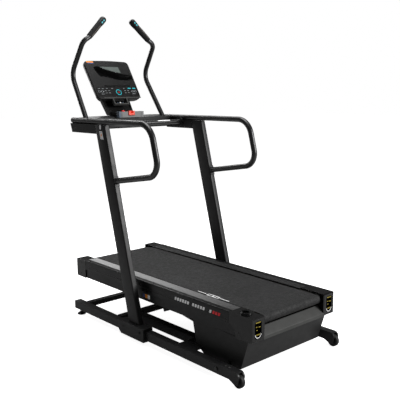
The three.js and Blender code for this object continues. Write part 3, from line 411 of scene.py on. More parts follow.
def bent_line(corners, radii, step=math.radians(5)):
    """Stations, as (point, tangent), along straight runs joined by arcs."""
    at = [Vector(c) for c in corners]
    stations = [(at[0], (at[1] - at[0]).normalized())]
    for corner, before, after, radius in zip(at[1:], at, at[2:], radii):
        heading = (corner - before).normalized()
        leaving = (after - corner).normalized()
        turn = heading.angle(leaving)
        axis = heading.cross(leaving).normalized()
        inward = axis.cross(heading)
        start = corner - heading * radius * math.tan(turn / 2)
        centre = start + inward * radius
        count = max(2, math.ceil(turn / step))
        for i in range(count + 1):
            spin = Matrix.Rotation(turn * i / count, 3, axis)
            stations.append((centre - spin @ inward * radius, spin @ heading))
    stations.append((at[-1], (at[-1] - at[-2]).normalized()))
    return stations


def sweep(bm, stations, sections):
    """Carries a section along stations; sections is one list of (u, v) points, or one list per station."""
    side = stations[0][1].orthogonal().normalized()
    rings = []
    for i, (point, tangent) in enumerate(stations):
        side = (side - tangent * side.dot(tangent)).normalized()
        other = tangent.cross(side)
        section = sections if isinstance(sections[0], tuple) else sections[i]
        rings.append([point + side * u + other * v for u, v in section])
    loft(bm, rings)


def turned(bm, profile, origin, axis, count=48, bored=False):
    """A solid of revolution from (distance along axis, radius) points, closed or bored through."""
    axis = Vector(axis).normalized()
    side = axis.orthogonal().normalized()
    other = axis.cross(side)
    rings = []
    for along, radius in profile:
        centre = Vector(origin) + axis * along
        rings.append([centre + side * u + other * v for u, v in circle(max(radius, 0.05 * MM), count)])
    loft(bm, rings, looped=bored)


def extruded(bm, points, place, thickness, start=0.0):
    """A flat outline of (u, v) points pushed out by a thickness; place maps (u, v, height) to the frame."""
    loft(bm, [[place(u, v, start) for u, v in points], [place(u, v, start + thickness) for u, v in points]])


def on_side(x, outward):
    """Places outlines of (y, z) points on an upright plane that faces along X."""
    return lambda y, z, h: Vector((x + outward * h, y, z))


def on_top(z):
    return lambda x, y, h: Vector((x, y, z + h))


def on_rear(y):
    return lambda x, z, h: Vector((x, y - h, z))


def slabs(name, outlines, place, thickness, material, body, slot, start=0.0, bevel=0.0):
    """Flat marks, plates or keys with these outlines, as one piece."""
    bm = bmesh.new()
    for points in outlines:
        extruded(bm, points, place, thickness, start)
    return finish_piece(name, bm, material, body, bevel=bevel, segments=2)


def slab(name, points, *shape, **options):
    """One flat piece, with the arguments of slabs."""
    return slabs(name, [points], *shape, **options)


def sheared(points, lean):
    """Moves outline points along their first axis by lean times their second."""
    return [(u + lean * v, v) for u, v in points]


def moved(points, du, dv):
    return [(u + du, v + dv) for u, v in points]


def bolt(bm, point, axis, head=7 * MM, height=4 * MM):
    """A domed screw head with a round recess, standing on a face."""
    profile = [(0, head), (height * 0.55, head), (height * 0.85, head * 0.82), (height, head * 0.55)]
    recess = [(height, head * 0.5), (height * 0.4, head * 0.48)]
    turned(bm, profile + recess, point, axis, 24)


def bolts(name, points, axis, material, body, slot, head=7 * MM, height=3 * MM):
    """Screws of one size at these points, as one piece."""
    bm = bmesh.new()
    for point in points:
        bolt(bm, point, axis, head, height)
    return finish_piece(name, bm, material, body)


def carved(solid, cutters):
    """A closed shape with other closed shapes cut out of it; all of them are bmeshes."""

    def as_object(bm):
        bmesh.ops.recalc_face_normals(bm, faces=bm.faces)
        mesh = bpy.data.meshes.new("carving")
        bm.to_mesh(mesh)
        bm.free()
        obj = bpy.data.objects.new("carving", mesh)
        bpy.context.scene.collection.objects.link(obj)
        return obj

    blank = as_object(solid)
    tools = [as_object(cutter) for cutter in cutters]
    for i, tool in enumerate(tools):
        cut = blank.modifiers.new(f"cut_{i}", "BOOLEAN")
        cut.operation = "DIFFERENCE"
        cut.solver = "EXACT"
        cut.object = tool
    bpy.context.view_layer.update()
    evaluated = blank.evaluated_get(bpy.context.evaluated_depsgraph_get())
    result = bmesh.new()
    result.from_mesh(evaluated.to_mesh())
    evaluated.to_mesh_clear()
    for obj in [blank, *tools]:
        bpy.data.objects.remove(obj)
    return result


# ---------- handrails, climbing bars and uprights ----------
LOOP_BENDS = (115 * MM, 85 * MM)
# Corners of a loop before rounding, as (y, z) in millimetres from its rearmost point and its top centre line.
LOOP_CORNERS = ((70, 0), (-4, -279), (405.5, -345.6))
LEAN = 0.261  # forward run of the uprights per unit of rise


def handrail(side):
    """The side loop: one bent tube from the arm round to its collar on the upright."""
    node = f"{side}_handrail"
    lo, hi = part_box(node)
    radius = (hi.x - lo.x) / 2
    x = (hi.x + lo.x) / 2
    top = hi.z - radius
    corners = [(x, hi.y, top)] + [(x, lo.y + dy * MM, top + dz * MM) for dy, dz in LOOP_CORNERS]
    end = corners[-1][1:]
    bm = bmesh.new()
    sweep(bm, bent_line(corners, LOOP_BENDS), circle(radius))
    finish_piece(f"{side}_rail_tube", bm, tube_black, "stand", [node])
    half = radius - 0.5 * MM
    plate = sheared([(-6 * MM, -31 * MM), (0, -31 * MM), (0, 31 * MM), (-6 * MM, 31 * MM)], LEAN)
    plate = moved(plate, end[0] + 4 * MM, end[1] - 2 * MM)
    slab(
        f"{side}_rail_collar",
        plate,
        on_side(x - half, 1),
        2 * half,
        frame_black,
        "stand",
        "frame_paint",
        bevel=1.5 * MM,
    )
    ring = bmesh.new()
    ferrule = [(-9 * MM, radius + 0.2 * MM), (-9 * MM, radius + 2.2 * MM), (0, radius + 2.2 * MM)]
    direction = (Vector(corners[-1]) - Vector(corners[-2])).normalized()
    turned(ring, ferrule + [(0.5 * MM, radius)], (x, end[0] - 5 * MM, end[1] + 1 * MM), direction)
    finish_piece(f"{side}_rail_ferrule", ring, frame_black, "stand")


def climbing_bar(side, sign):
    """A tall bent bar that rises from its arm, leans out and comes back in over the console."""
    radius = 16 * MM
    foot_z = low(f"{side}_climb_bar").z + 8.7 * MM
    corners = [
        (314.5, 610.0, 0.0),
        (297.0, 798.0, 288.0),
        (285.0, 662.0, 496.0),
        (245.0, 664.0, 516.0),
        (114.0, 684.0, 641.0),
    ]
    path = [(sign * x * MM, y * MM, foot_z + z * MM) for x, y, z in corners]
    bm = bmesh.new()
    sweep(bm, bent_line(path, (95 * MM, 54 * MM, 40 * MM)), circle(radius))
    finish_piece(f"{side}_bar_tube", bm, tube_black, "stand", [f"{side}_climb_bar"])
    return path


def hand_grip(side, path):
    """Foam sleeve with a steel pulse strip, and a pod at the tip with holes for its two buttons."""
    tip = Vector(path[-1])
    along = (tip - Vector(path[-2])).normalized()
    node = f"{side}_grip"
    length = 172 * MM
    profile = []
    steps = 24
    for i in range(steps + 1):
        t = i / steps
        swell = 18.5 + 1.5 * t + 0.9 * math.sin(math.pi * t)
        profile.append((-length + t * (length - 46 * MM), swell * MM))
    profile = [(-length, 16.2 * MM)] + profile
    bm = bmesh.new()
    turned(bm, profile, tip, along)
    finish_piece(f"{side}_sleeve", bm, grip_foam, "stand", [node])
    toward = Vector((0, -1, 0))
    toward = (toward - along * toward.dot(along)).normalized()
    across = along.cross(toward)
    pod = bmesh.new()
    rings = []
    for distance, radius, flare in (
        (-48, 17, 0),
        (-47, 21, 0),
        (-30, 22, 1.5),
        (-12, 22.4, 3.0),
        (-2, 22.0, 3.2),
        (4, 20.2, 2.8),
        (8, 16.5, 2.0),
        (10, 11.0, 1.0),
        (11, 5.0, 0.4),
    ):
        centre = tip + along * distance * MM
        ring = []
        for u, v in circle(radius * MM, 40):
            push = flare * MM * max(0.0, u / (radius * MM)) ** 3
            ring.append(centre + toward * (u + push) + across * v)
        rings.append(ring)
    loft(pod, rings)
    holes = []
    for way in ("up", "down"):
        lo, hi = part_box(f"{side}_grip_button_{way}")
        hole = bmesh.new()
        reach = (hi.x - lo.x) / 2 + 0.4 * MM
        start = ((lo.x + hi.x) / 2, hi.y + 3 * MM, (lo.z + hi.z) / 2)
        turned(hole, [(0, reach), (60 * MM, reach)], start, (0, -1, 0), 40)
        holes.append(hole)
    pod = carved(pod, holes)
    finish_piece(f"{side}_pod", pod, shell_black, "stand", angle=50)
    strips = bmesh.new()
    rows = []
    outline = [(-164 * MM, 0.08), (-58 * MM, 0.08), (-58 * MM, 0.46), (-164 * MM, 0.46)]
    for lift in (18.0, 20.9):
        ring = []
        for start, stop in zip(outline, outline[1:] + outline[:1]):
            for k in range(8):
                d = start[0] + (stop[0] - start[0]) * k / 8
                a = start[1] + (stop[1] - start[1]) * k / 8
                r = lift * MM + 0.6 * MM * math.sin(math.pi * (d + length) / length)
                ring.append(tip + along * d + (toward * math.cos(a) + across * math.sin(a)) * r)
        rows.append(ring)
    loft(strips, rows)
    finish_piece(f"{side}_pulse_strips", strips, strip_steel, "stand")


def grip_button(node):
    """Domed button that slides in its pod."""
    lo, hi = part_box(node)
    centre = (lo + hi) / 2
    radius = (hi.x - lo.x) / 2
    face = Vector((centre.x, lo.y, centre.z))
    bm = bmesh.new()
    depth = hi.y - lo.y
    profile = [(-depth, radius * 0.9), (-1.6 * MM, radius), (-0.5 * MM, radius * 0.86), (0, radius * 0.5)]
    turned(bm, profile, face, (0, -1, 0), 32)
    body, slot = node_facts(node)
    # The cyan cap carries a painted glow.
    finish_piece(node + "_cap", bm, cyan, body, [node])


def upright(side):
    """Leaning rectangular tube with rounded corners."""
    node = f"{side}_upright"
    lo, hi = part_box(node)
    run = LEAN * (hi.z - lo.z)
    depth = hi.y - lo.y - run
    section = rounded(hi.x - lo.x, depth, 7 * MM)
    bm = bmesh.new()
    x = (lo.x + hi.x) / 2
    rings = []
    for share in (0, 0.25, 0.5, 0.75, 1):
        y = lo.y + depth / 2 + run * share
        rings.append([(x + u, y + v, lo.z + share * (hi.z - lo.z)) for u, v in section])
    loft(bm, rings)
    finish_piece(f"{side}_upright_tube", bm, frame_black, "stand", [node])


def upright_marks():
    """A white oval cap and a small plain plate on the left upright's outer face."""
    place = on_side(low("left_upright").x, -1)
    oval, rim = ([(0.3115 + u * 0.62, 1.2555 + v * 1.05) for u, v in circle(r * MM, 40)] for r in (14, 18))
    slab("upright_cap_rim", rim, place, 0.8 * MM, shell_black, "stand", "frame_paint", bevel=0.3 * MM)
    slab("upright_cap", oval, place, 1.6 * MM, mark_white, "stand", "frame_paint", bevel=0.6 * MM)
    plate = moved(sheared(rounded(30 * MM, 48 * MM, 3 * MM), LEAN), 0.302, 1.2075)
    slab("upright_plate", plate, place, 0.8 * MM, mark_white, "stand", "frame_paint", bevel=0.3 * MM)
    spot = moved(rounded(9 * MM, 17 * MM, 4 * MM), 0.302, 1.209)
    slab("upright_plate_spot", spot, place, 0.5 * MM, mark_orange, "stand", "frame_paint", 0.8 * MM)
    bar = rounded(17 * MM, 1.6 * MM, 0.7 * MM)
    bars = [moved(bar, 0.302 + dv * LEAN, 1.2075 + dv) for dv in (-0.017, 0.017)]
    slabs("upright_plate_bars", bars, place, 0.4 * MM, mark_blue, "stand", "frame_paint", 0.8 * MM)


def hand_bar():
    """The round bar across between the arms, with a thin pale strip round its rear top near its right end."""
    lo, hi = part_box("hand_cross_tube")
    centre = (lo + hi) / 2
    radius = (hi.z - lo.z) / 2
    bm = bmesh.new()
    turned(bm, [(0, radius), (hi.x - lo.x, radius)], (lo.x, centre.y, centre.z), (1, 0, 0), 40)
    finish_piece("hand_bar_tube", bm, tube_black, "stand", ["hand_cross_tube"])
    # A thin pale strip on the bar's rear top, near its right end.
    label = bmesh.new()
    rows = []
    for lift in (radius - 0.5 * MM, radius + 0.5 * MM):
        arc = [0.62 + 0.5 * i / 8 for i in range(9)]
        near = [(0.157, a) for a in arc] + [(0.262, a) for a in reversed(arc)]
        rows.append([(x, centre.y - lift * math.cos(a), centre.z + lift * math.sin(a)) for x, a in near])
    loft(label, rows)
    finish_piece("hand_bar_pale_strip", label, mark_white, "stand")


for side_name, side_sign in SIDES.items():
    handrail(side_name)
    bar_path = climbing_bar(side_name, side_sign)
    hand_grip(side_name, bar_path)
    upright(side_name)
    for way in ("up", "down"):
        grip_button(f"{side_name}_grip_button_{way}")
upright_marks()
hand_bar()
refined("console_frame", frame_black, 2.5 * MM)

# ---------- console ----------
CONSOLE_TILT = 0.5835
FASCIA = 12 * MM
CONSOLE_HEIGHT = 304 * MM
fascia_low, fascia_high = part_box("console_fascia")
CONSOLE_FOOT = (0, fascia_low.y, fascia_low.z + FASCIA * math.sin(CONSOLE_TILT))
CONSOLE = Matrix.Translation(CONSOLE_FOOT) @ Matrix.Rotation(-CONSOLE_TILT, 4, "X")
CONSOLE_HALF = fascia_high.x
QUICK_KEY_DOWN = 222 * MM
START_DOWN = 253 * MM


def on_console(x, down, out):
    """A point on the console: across, down from its top edge, and out of its face, in metres."""
    return CONSOLE @ Vector((x, -out, CONSOLE_HEIGHT - down))


def panel_shape(width, height, radius, x, down):
    """A rounded rectangle on the console, all in millimetres."""
    return rounded(width * MM, height * MM, radius * MM, centre=(x * MM, down * MM))


def console_outline(inset=0.0, steps=10):
    """Rounded outline with a crowned top, as (across, down) points."""
    half = CONSOLE_HALF - 4 * MM - inset
    high_half = CONSOLE_HALF - inset
    bottom = CONSOLE_HEIGHT - inset
    crown = 4.5 * MM

    def curve(a, b, c):
        return [
            tuple((1 - t) ** 2 * p + 2 * t * (1 - t) * q + t * t * r for p, q, r in zip(a, b, c))
            for t in (i / steps for i in range(steps + 1))
        ]

    corner = 32 * MM
    reach = high_half - corner
    points = curve((half - corner, bottom), (half, bottom), (half, bottom - corner))
    points += curve((high_half, inset + corner), (high_half, inset), (reach, inset))
    points += [(i / 4 * reach, inset - crown * (1 - (i / 4) ** 2)) for i in range(3, -4, -1)]
    points += curve((-reach, inset), (-high_half, inset), (-high_half, inset + corner))
    points += curve((-half, bottom - corner), (-half, bottom), (corner - half, bottom))
    return points


def key_holes():
    """Openings that the moving keys slide in."""
    holes = []
    for node in ("speed_key", "incline_key"):
        lo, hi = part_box(node)
        hole = bmesh.new()
        outline = rounded(hi.x - lo.x + 1 * MM, 8 * MM, 3 * MM, centre=((lo.x + hi.x) / 2, QUICK_KEY_DOWN))
        extruded(hole, outline, on_console, 14 * MM, -9 * MM)
        holes.append(hole)
    lo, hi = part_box("start_button")
    hole = bmesh.new()
    outline = moved(circle((hi.x - lo.x) / 2 + 0.5 * MM, 48), (lo.x + hi.x) / 2, START_DOWN)
    extruded(hole, outline, on_console, 15 * MM, -10 * MM)
    return holes + [hole]


def fascia():
    """Front panel: a rim that falls away at its edge, a tablet slot, a sunk keypad and the port's notch."""
    body = bmesh.new()
    rings = []
    for inset, out in ((0.0, -12), (0.0, -3.5), (0.6, -1.6), (2.0, -0.5), (4.0, 0.0)):
        rings.append([on_console(x, d, out * MM) for x, d in console_outline(inset * MM)])
    loft(body, rings)
    slot = bmesh.new()
    extruded(slot, panel_shape(214, 8, 3.9, 13, 203), on_console, 14 * MM, -10 * MM)
    sunk = bmesh.new()
    extruded(sunk, panel_shape(336, 74, 8, 0, 248), on_console, 4 * MM, -1.2 * MM)
    notch = bmesh.new()
    lo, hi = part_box("port_bezel")
    width = hi.x - lo.x + 0.8 * MM
    port = rounded(width, 40 * MM, 2 * MM, centre=((lo.x + hi.x) / 2, 311.5 * MM))
    extruded(notch, port, on_console, 40 * MM, -20 * MM)
    bm = carved(body, [slot, sunk, *key_holes(), notch])
    replaced = ["console_fascia"]
    finish_piece("console_front", bm, console_black, "stand", replaced, 0.7 * MM, 2, 40)


def rear_shell():
    """Back of the console: a shallow tub that draws in towards its flat rear."""
    bm = bmesh.new()
    back_low, back_high = 142 * MM, 160 * MM
    rim = console_outline(0.2 * MM)
    rings = []
    for share in (0, 0.1, 0.35, 0.65, 0.88, 0.97, 1.0):
        ease = 1 - math.cos(share * math.pi / 2)
        out = -(12.3 + 32.4 * math.sin(share * math.pi / 2)) * MM
        ring = []
        for x, down in rim:
            width = back_low + (back_high - back_low) * (1 - down / CONSOLE_HEIGHT)
            narrow = width / CONSOLE_HALF
            d = down + (0.97 * down + 4 * MM - down) * ease
            ring.append(on_console(x * (1 + (narrow - 1) * ease), d, out))
        rings.append(ring)
    loft(bm, rings)
    finish_piece("console_back", bm, shell_black, "stand", ["console_shell"], angle=50)


def wave_edge(points, steps=8):
    """A smooth line through a few points (Catmull-Rom)."""
    ends = [points[0], *points, points[-1]]
    line = []
    for a, b, c, d in zip(ends, ends[1:], ends[2:], ends[3:]):
        for i in range(steps):
            t = i / steps
            weights = (
                2 * t**2 - t - t**3,
                2 - 5 * t**2 + 3 * t**3,
                t + 4 * t**2 - 3 * t**3,
                t**3 - t**2,
            )
            line.append(tuple(0.5 * sum(w * v for w, v in zip(weights, near)) for near in zip(a, b, c, d)))
    return line + [points[-1]]


def millimetres(points):
    return [(x * MM, y * MM) for x, y in points]


def display():
    """A glossy black band that swoops from the upper left to the right edge, with the grey screen."""
    lower = wave_edge([(-100, 116), (-88, 126), (-55, 129), (-10, 140), (50, 154), (110, 157), (166, 153)])
    upper = wave_edge([(166, 111), (120, 108), (84, 101), (40, 91), (0, 80), (-40, 66), (-76, 46)])
    tip = wave_edge([(-76, 46), (-92, 42), (-108, 45), (-121, 57), (-112, 88), (-100, 116)])
    outline = millimetres(lower + upper + tip[1:-1])
    slab("display_band", outline, on_console, 0.9 * MM, lens_black, "stand", "screen", -0.3 * MM, 0.3 * MM)
    top = [(82, 47), (-70, 47)]
    lcd = millimetres(top + wave_edge([(-70, 47), (-40, 62), (0, 76), (40, 87), (86, 97)])[1:])
    slab("display_glass", lcd, on_console, 0.7 * MM, lcd_grey, "stand", "screen", -0.3 * MM, 0.2 * MM)
    windows = [panel_shape(w, 9, 1.5, x, 56) for x, w in ((-36, 30), (6, 34), (54, 40))]
    windows += [panel_shape(w, 7, 1.5, x, 71) for x, w in ((26, 28), (60, 28))]
    slabs("display_segments", windows, on_console, 0.12 * MM, legend_segments, "stand", "screen", 0.4 * MM)


def display_backing():
    """A thin dark sheet behind the band and the screen, in the place of the lens."""
    bm = bmesh.new()
    extruded(bm, panel_shape(150, 60, 6, 10, 90), on_console, 1 * MM, -4 * MM)
    finish_piece("display_backing", bm, lens_black, "stand", ["display_lens"])


def keypad():
    """Membrane keypad: a thin film with embossed keys and plain printed dashes and rings, no lettering."""
    film = panel_shape(334, 72, 7, 0, 248)
    sheet = bmesh.new()
    extruded(sheet, film, on_console, 0.5 * MM, -1.2 * MM)
    bm = carved(sheet, key_holes())
    finish_piece("keypad_film", bm, keypad_black, "stand", ["keypad"], 0.2 * MM, 2)
    keys = bmesh.new()
    dashes = []
    rows = {222: (-142, -112, -80, -36, 60), 240: (-94, -68, 62, 88), 257: (-94, -68, 62, 88)}
    for down, places in rows.items():
        for x in places:
            extruded(keys, panel_shape(22, 12, 4, x, down), on_console, 0.5 * MM, -0.7 * MM)
            dashes.append(panel_shape(14, 1.9, 0.9, x, down + 0.4))
    finish_piece("keypad_keys", keys, keypad_black, "stand", bevel=0.25 * MM, segments=2)
    dashes += [panel_shape(3.2, 9, 1.5, x, 246) for x in (-134, -112, 116, 138)]
    dashes += [panel_shape(26, 2, 0.9, x, 266) for x in (-124, 128)]
    # The dashes and rings carry a painted glow.
    slabs("keypad_dashes", dashes, on_console, 0.15 * MM, legend_grey, "stand", "console_plastic", -0.22 * MM)
    rings = bmesh.new()
    for x in (-148, -122, 128, 150):
        arc_ring(rings, (x * MM, 246 * MM), 7.5 * MM, 1.1 * MM, -0.7 * MM, 0.35 * MM)
    finish_piece("keypad_rings", rings, legend_grey, "stand")


def arc_ring(bm, centre, radius, width, start, thickness, count=48):
    """A flat ring on the console face."""
    inner, end = radius - width, start + thickness
    rings = []
    for r, out in ((inner, start), (inner, end), (radius, end), (radius, start)):
        rings.append([on_console(centre[0] + u, centre[1] + v, out) for u, v in circle(r, count)])
    loft(bm, rings, looped=True)


def start_button():
    """Round start key: a dark dished face with two plain red bars, inside a cyan ring; bars and ring carry a
    painted glow.
    """
    lo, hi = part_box("start_button")
    x = (lo.x + hi.x) / 2
    down = START_DOWN
    radius = (hi.x - lo.x) / 2
    bm = bmesh.new()
    centre = on_console(x, down, 0)
    outward = on_console(x, down, 1) - centre
    shares = ((-6, 0.98), (0.4, 0.98), (1.3, 0.9), (0.8, 0.55), (0.6, 0.1))
    turned(bm, [(out * MM, radius * share) for out, share in shares], centre, outward)
    finish_piece("start_key", bm, keypad_black, "start_button", ["start_button"])
    ring = bmesh.new()
    arc_ring(ring, (x, down), radius + 4.6 * MM, 4.0 * MM, -0.8 * MM, 1.4 * MM)
    finish_piece("start_key_ring", ring, cyan, "stand")
    marks = [rounded(13 * MM, 2 * MM, 0.9 * MM, centre=(x, down + dv * MM)) for dv in (-2, 2.2)]
    look = (legend_red, "start_button", "cyan_plastic")
    slabs("start_key_mark", marks, on_console, 0.3 * MM, *look, 0.85 * MM)


def quick_keys():
    """The speed and incline keys, which stand a little proud of the film."""
    for node in ("speed_key", "incline_key"):
        lo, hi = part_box(node)
        x = (lo.x + hi.x) / 2
        bm = bmesh.new()
        outline = rounded(hi.x - lo.x, 7 * MM, 2.6 * MM, centre=(x, QUICK_KEY_DOWN))
        extruded(bm, outline, on_console, 2.2 * MM, -1.0 * MM)
        # The cyan key caps carry a painted glow.
        finish_piece(node + "_cap", bm, cyan, node, [node], 0.5 * MM, 3)


def console_trim():
    """Pale strip along the bottom of the panel, the port's bezel, its sockets, and a plain badge."""

    def trim(name, outlines, thickness, material, slot, start, bevel=0.0):
        slabs(name, outlines, on_console, thickness * MM, material, "stand", slot, start * MM, bevel * MM)

    trim("bezel_strip", [panel_shape(304, 8, 2.5, 22, 295.5)], 1.6, trim_grey, "trim_plastic", -0.8, 0.5)
    refined("port_bezel", trim_grey, 1.2 * MM)
    trim("port_back", [panel_shape(90, 26, 2, -4, 322)], 1, lens_black, "trim_plastic", -15.5)
    left, centre, right = (panel_shape(w, 5, 1.5, x, 327) for x, w in ((-24, 7), (-4, 12), (16, 7)))
    trim("port_socket", [centre], 1.5, mark_white, "trim_plastic", -14.5, 0.3)
    trim("port_lights", [left, right], 1.2, blue_grey, "trim_plastic", -14.5)
    trim("badge_upper", [panel_shape(54, 9, 1.2, -133, 10)], 0.6, mark_orange, "console_plastic", -0.1, 0.2)
    trim("badge_lower", [panel_shape(48, 7, 1.2, -130, 18.5)], 0.5, mark_blue, "console_plastic", -0.1, 0.2)


def safety_module():
    """Silver switch box with its blue-grey end cap, the red stop button and the red pull-out key."""
    refined("safety_module", silver_grey, 2.2 * MM)
    lo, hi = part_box("safety_module")
    centre = (lo + hi) / 2
    lip = 1.2 * MM
    section = rounded(hi.y - lo.y + lip, hi.z - lo.z + lip, 4 * MM, centre=(centre.y, centre.z))
    for name, x, thickness, material, start, bevel in (
        ("module_end", lo.x, 17, blue_grey, -1.0, 1.2),
        ("module_seam", lo.x + 20 * MM, 2.2, shell_black, 0, 0),
        ("module_seam_right", hi.x - 22 * MM, 1.4, shell_black, 0, 0),
    ):
        place = on_side(x, 1)
        look = (material, "stand", "silver_plastic")
        slab(name, section, place, thickness * MM, *look, start * MM, bevel * MM)
    refined("safety_key", coral_red, 1.6 * MM)
    lo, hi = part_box("stop_button")
    centre = (lo + hi) / 2
    radius = (hi.x - lo.x) / 2
    top = hi.z
    bm = bmesh.new()
    dome, rim = 4.6 * MM, radius * 0.97
    profile = [(lo.z - top, radius), (-5.8 * MM, radius), (-dome, rim)]
    profile += [(-dome * (1 - math.sin(a)), rim * math.cos(a)) for a in (0.2, 0.5, 0.8, 1.1, 1.4, 1.56)]
    turned(bm, profile, (centre.x, centre.y, top), (0, 0, 1), 40)
    finish_piece("stop_button_cap", bm, signal_red, "stop_button", ["stop_button"])


fascia()
rear_shell()
display()
display_backing()
keypad()
start_button()
quick_keys()
console_trim()
refined("console_neck", shell_black, 2.5 * MM)
safety_module()

# ---------- running deck ----------
DECK_TOP = high("left_foot_rail").z
RAIL_REAR = low("left_foot_rail").y
RAIL_FRONT = high("left_foot_rail").y


def belt():
    """The running belt round both rollers and over the board's front edge."""
    lo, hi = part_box("running_belt")
    rear_lo, rear_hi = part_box("drive_roller")
    front_lo, front_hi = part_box("front_roller")
    board_edge = high("running_board").y
    rear = ((rear_lo + rear_hi) / 2, hi.z - (rear_lo.z + rear_hi.z) / 2)
    front_radius = hi.y - (front_lo.y + front_hi.y) / 2
    front = ((front_lo + front_hi) / 2, front_radius)
    outline = []
    count = 20
    for i in range(count + 1):
        a = math.pi * (1.5 - i / count)
        outline.append((rear[0].y + rear[1] * math.cos(a), rear[0].z + rear[1] * math.sin(a)))
    outline.append((board_edge, hi.z))
    drop = hi.z - (front[0].z + front[1])
    slope = math.atan2(drop, front[0].y - board_edge)
    for i in range(count + 1):
        a = (math.pi / 2 - slope) - (math.pi - slope) * i / count
        outline.append((front[0].y + front[1] * math.cos(a), front[0].z + front[1] * math.sin(a)))
    thickness = 2.4 * MM

    def loop(inset):
        points = []
        for (y0, z0), (y, z), (y1, z1) in zip(outline[-1:] + outline, outline, outline[1:] + outline[:1]):
            normal = Vector((-(z1 - z0), y1 - y0)).normalized()
            points.append((y - normal[0] * inset, z - normal[1] * inset))
        return points

    outer, inner = loop(0), loop(thickness)
    bm = bmesh.new()
    edge = 0.6 * MM
    rings = []
    for x, points in (
        (lo.x, loop(edge)),
        (lo.x + edge, outer),
        (hi.x - edge, outer),
        (hi.x, loop(edge)),
        (hi.x, inner),
        (lo.x, inner),
    ):
        rings.append([(x, y, z) for y, z in points])
    loft(bm, rings, looped=True)
    finish_piece("belt_loop", bm, belt_surface, "deck", ["running_belt"], angle=40)


def foot_rail(side, sign):
    """Grey cover with lengthwise anti-slip ribs, a black edge strip and the side panel below it."""
    node = f"{side}_foot_rail"
    lo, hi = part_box(node)
    inner = min(abs(lo.x), abs(hi.x))
    outer = max(abs(lo.x), abs(hi.x))
    rib, height = 3.6 * MM, 0.9 * MM
    start, stop = inner + 3 * MM, inner + 0.68 * (outer - inner)
    count = int((stop - start) / (2 * rib))
    valley, underside = DECK_TOP - 1.2 * MM, DECK_TOP - 4 * MM
    step = (stop - start - 2 * MM) / count
    top = [(start, valley)]
    for i in range(count):
        x = start + 1 * MM + i * step
        top += [
            (x, valley),
            (x + step * 0.16, valley + height),
            (x + step * 0.5, valley + height),
            (x + step * 0.66, valley),
        ]
    top.append((stop, valley))
    profile = [(stop, underside)] + top[::-1] + [(start, underside)]
    bm = bmesh.new()
    rings = [[(sign * x, y, z) for x, z in profile] for y in (RAIL_REAR + 1 * MM, RAIL_FRONT - 1 * MM)]
    loft(bm, rings)
    cover = rail_grey if side == "left" else rail_dark
    finish_piece(f"{side}_rail_cover", bm, cover, "deck", [node], angle=25)
    radius = 4 * MM
    corner = [
        (outer - radius + radius * math.sin(a), DECK_TOP - radius + radius * math.cos(a))
        for a in (math.pi / 2 * i / 5 for i in range(6))
    ]
    bottom = lo.z
    t = 5.5 * MM
    wall = [(inner, DECK_TOP - 9 * MM), (inner, DECK_TOP - 2 * MM), (inner + 2 * MM, DECK_TOP - 0.3 * MM)]
    ledge = DECK_TOP - 3 * MM
    wall += [(inner + 3 * MM, ledge), (stop + 0.2 * MM, ledge), (stop + 0.6 * MM, DECK_TOP)]
    wall += corner
    wall += [
        (outer, bottom + 22 * MM),
        (outer - 0.8 * MM, bottom + 21 * MM),
        (outer - 0.8 * MM, bottom + 19.5 * MM),
        (outer, bottom + 18.5 * MM),
        (outer, bottom),
        (outer - t, bottom),
        (outer - t, DECK_TOP - 5 * MM),
        (inner + 4 * MM, DECK_TOP - 5 * MM),
        (inner + 4 * MM, DECK_TOP - 9 * MM),
    ]
    panel = bmesh.new()
    gap = 1.4 * MM
    rings = [[(sign * x, y, z) for x, z in wall] for y in (RAIL_REAR + gap, RAIL_FRONT - gap)]
    loft(panel, rings)
    finish_piece(f"{side}_side_panel", panel, skirt_black, "deck", angle=35)


def side_marks():
    """Plain white and red slanted dashes and a small three-colour tab where the real panel is printed."""
    x = low("left_foot_rail").x
    place = on_side(x, -1)

    def dash(width, y, z):
        return moved(sheared(rounded(width, 18 * MM, 2.5 * MM), -0.25), y, z)

    gap_after = 6
    white = [dash(15 * MM, -0.285 - i * 0.0212, 0.3175) for i in range(12) if i != gap_after]
    white.append(dash(15 * MM, -0.571, 0.3165))
    red = [dash(16 * MM, -0.595 - i * 0.021, 0.3165) for i in range(3)]
    slabs("panel_dashes_white", white, place, 0.5 * MM, mark_white, "deck", "foot_rail_grey")
    slabs("panel_dashes_red", red, place, 0.5 * MM, mark_red, "deck", "foot_rail_grey")
    tube_x = low("deck_frame").x
    tab = on_side(tube_x, -1)
    colours = {"blue": mark_blue, "orange": mark_orange, "white": mark_white}
    for i, (name, material) in enumerate(colours.items()):
        outline = rounded(22 * MM, 24 * MM, 3 * MM, centre=(0.020 - i * 0.0245, 0.2605))
        slab(f"panel_tab_{name}", outline, tab, 0.5 * MM, material, "deck", "frame_paint")


def belt_mark():
    """A plain line broken by two open boxes, printed along the belt's left edge."""
    x = low("running_belt").x + 15 * MM
    z = high("running_belt").z
    lines = [rounded(5 * MM, 72 * MM, 2.2 * MM, centre=(x, y)) for y in (-0.372, -0.552)]
    for y in (-0.442, -0.485):
        for dx in (-10 * MM, 10 * MM):
            lines.append(rounded(5.5 * MM, 40 * MM, 2.4 * MM, centre=(x + dx, y)))
    lines += [rounded(25 * MM, 6 * MM, 2.4 * MM, centre=(x, y)) for y in (-0.421, -0.4635, -0.506)]
    slabs("belt_mark", lines, on_top(z), 0.12 * MM, mark_white, "deck", "belt")


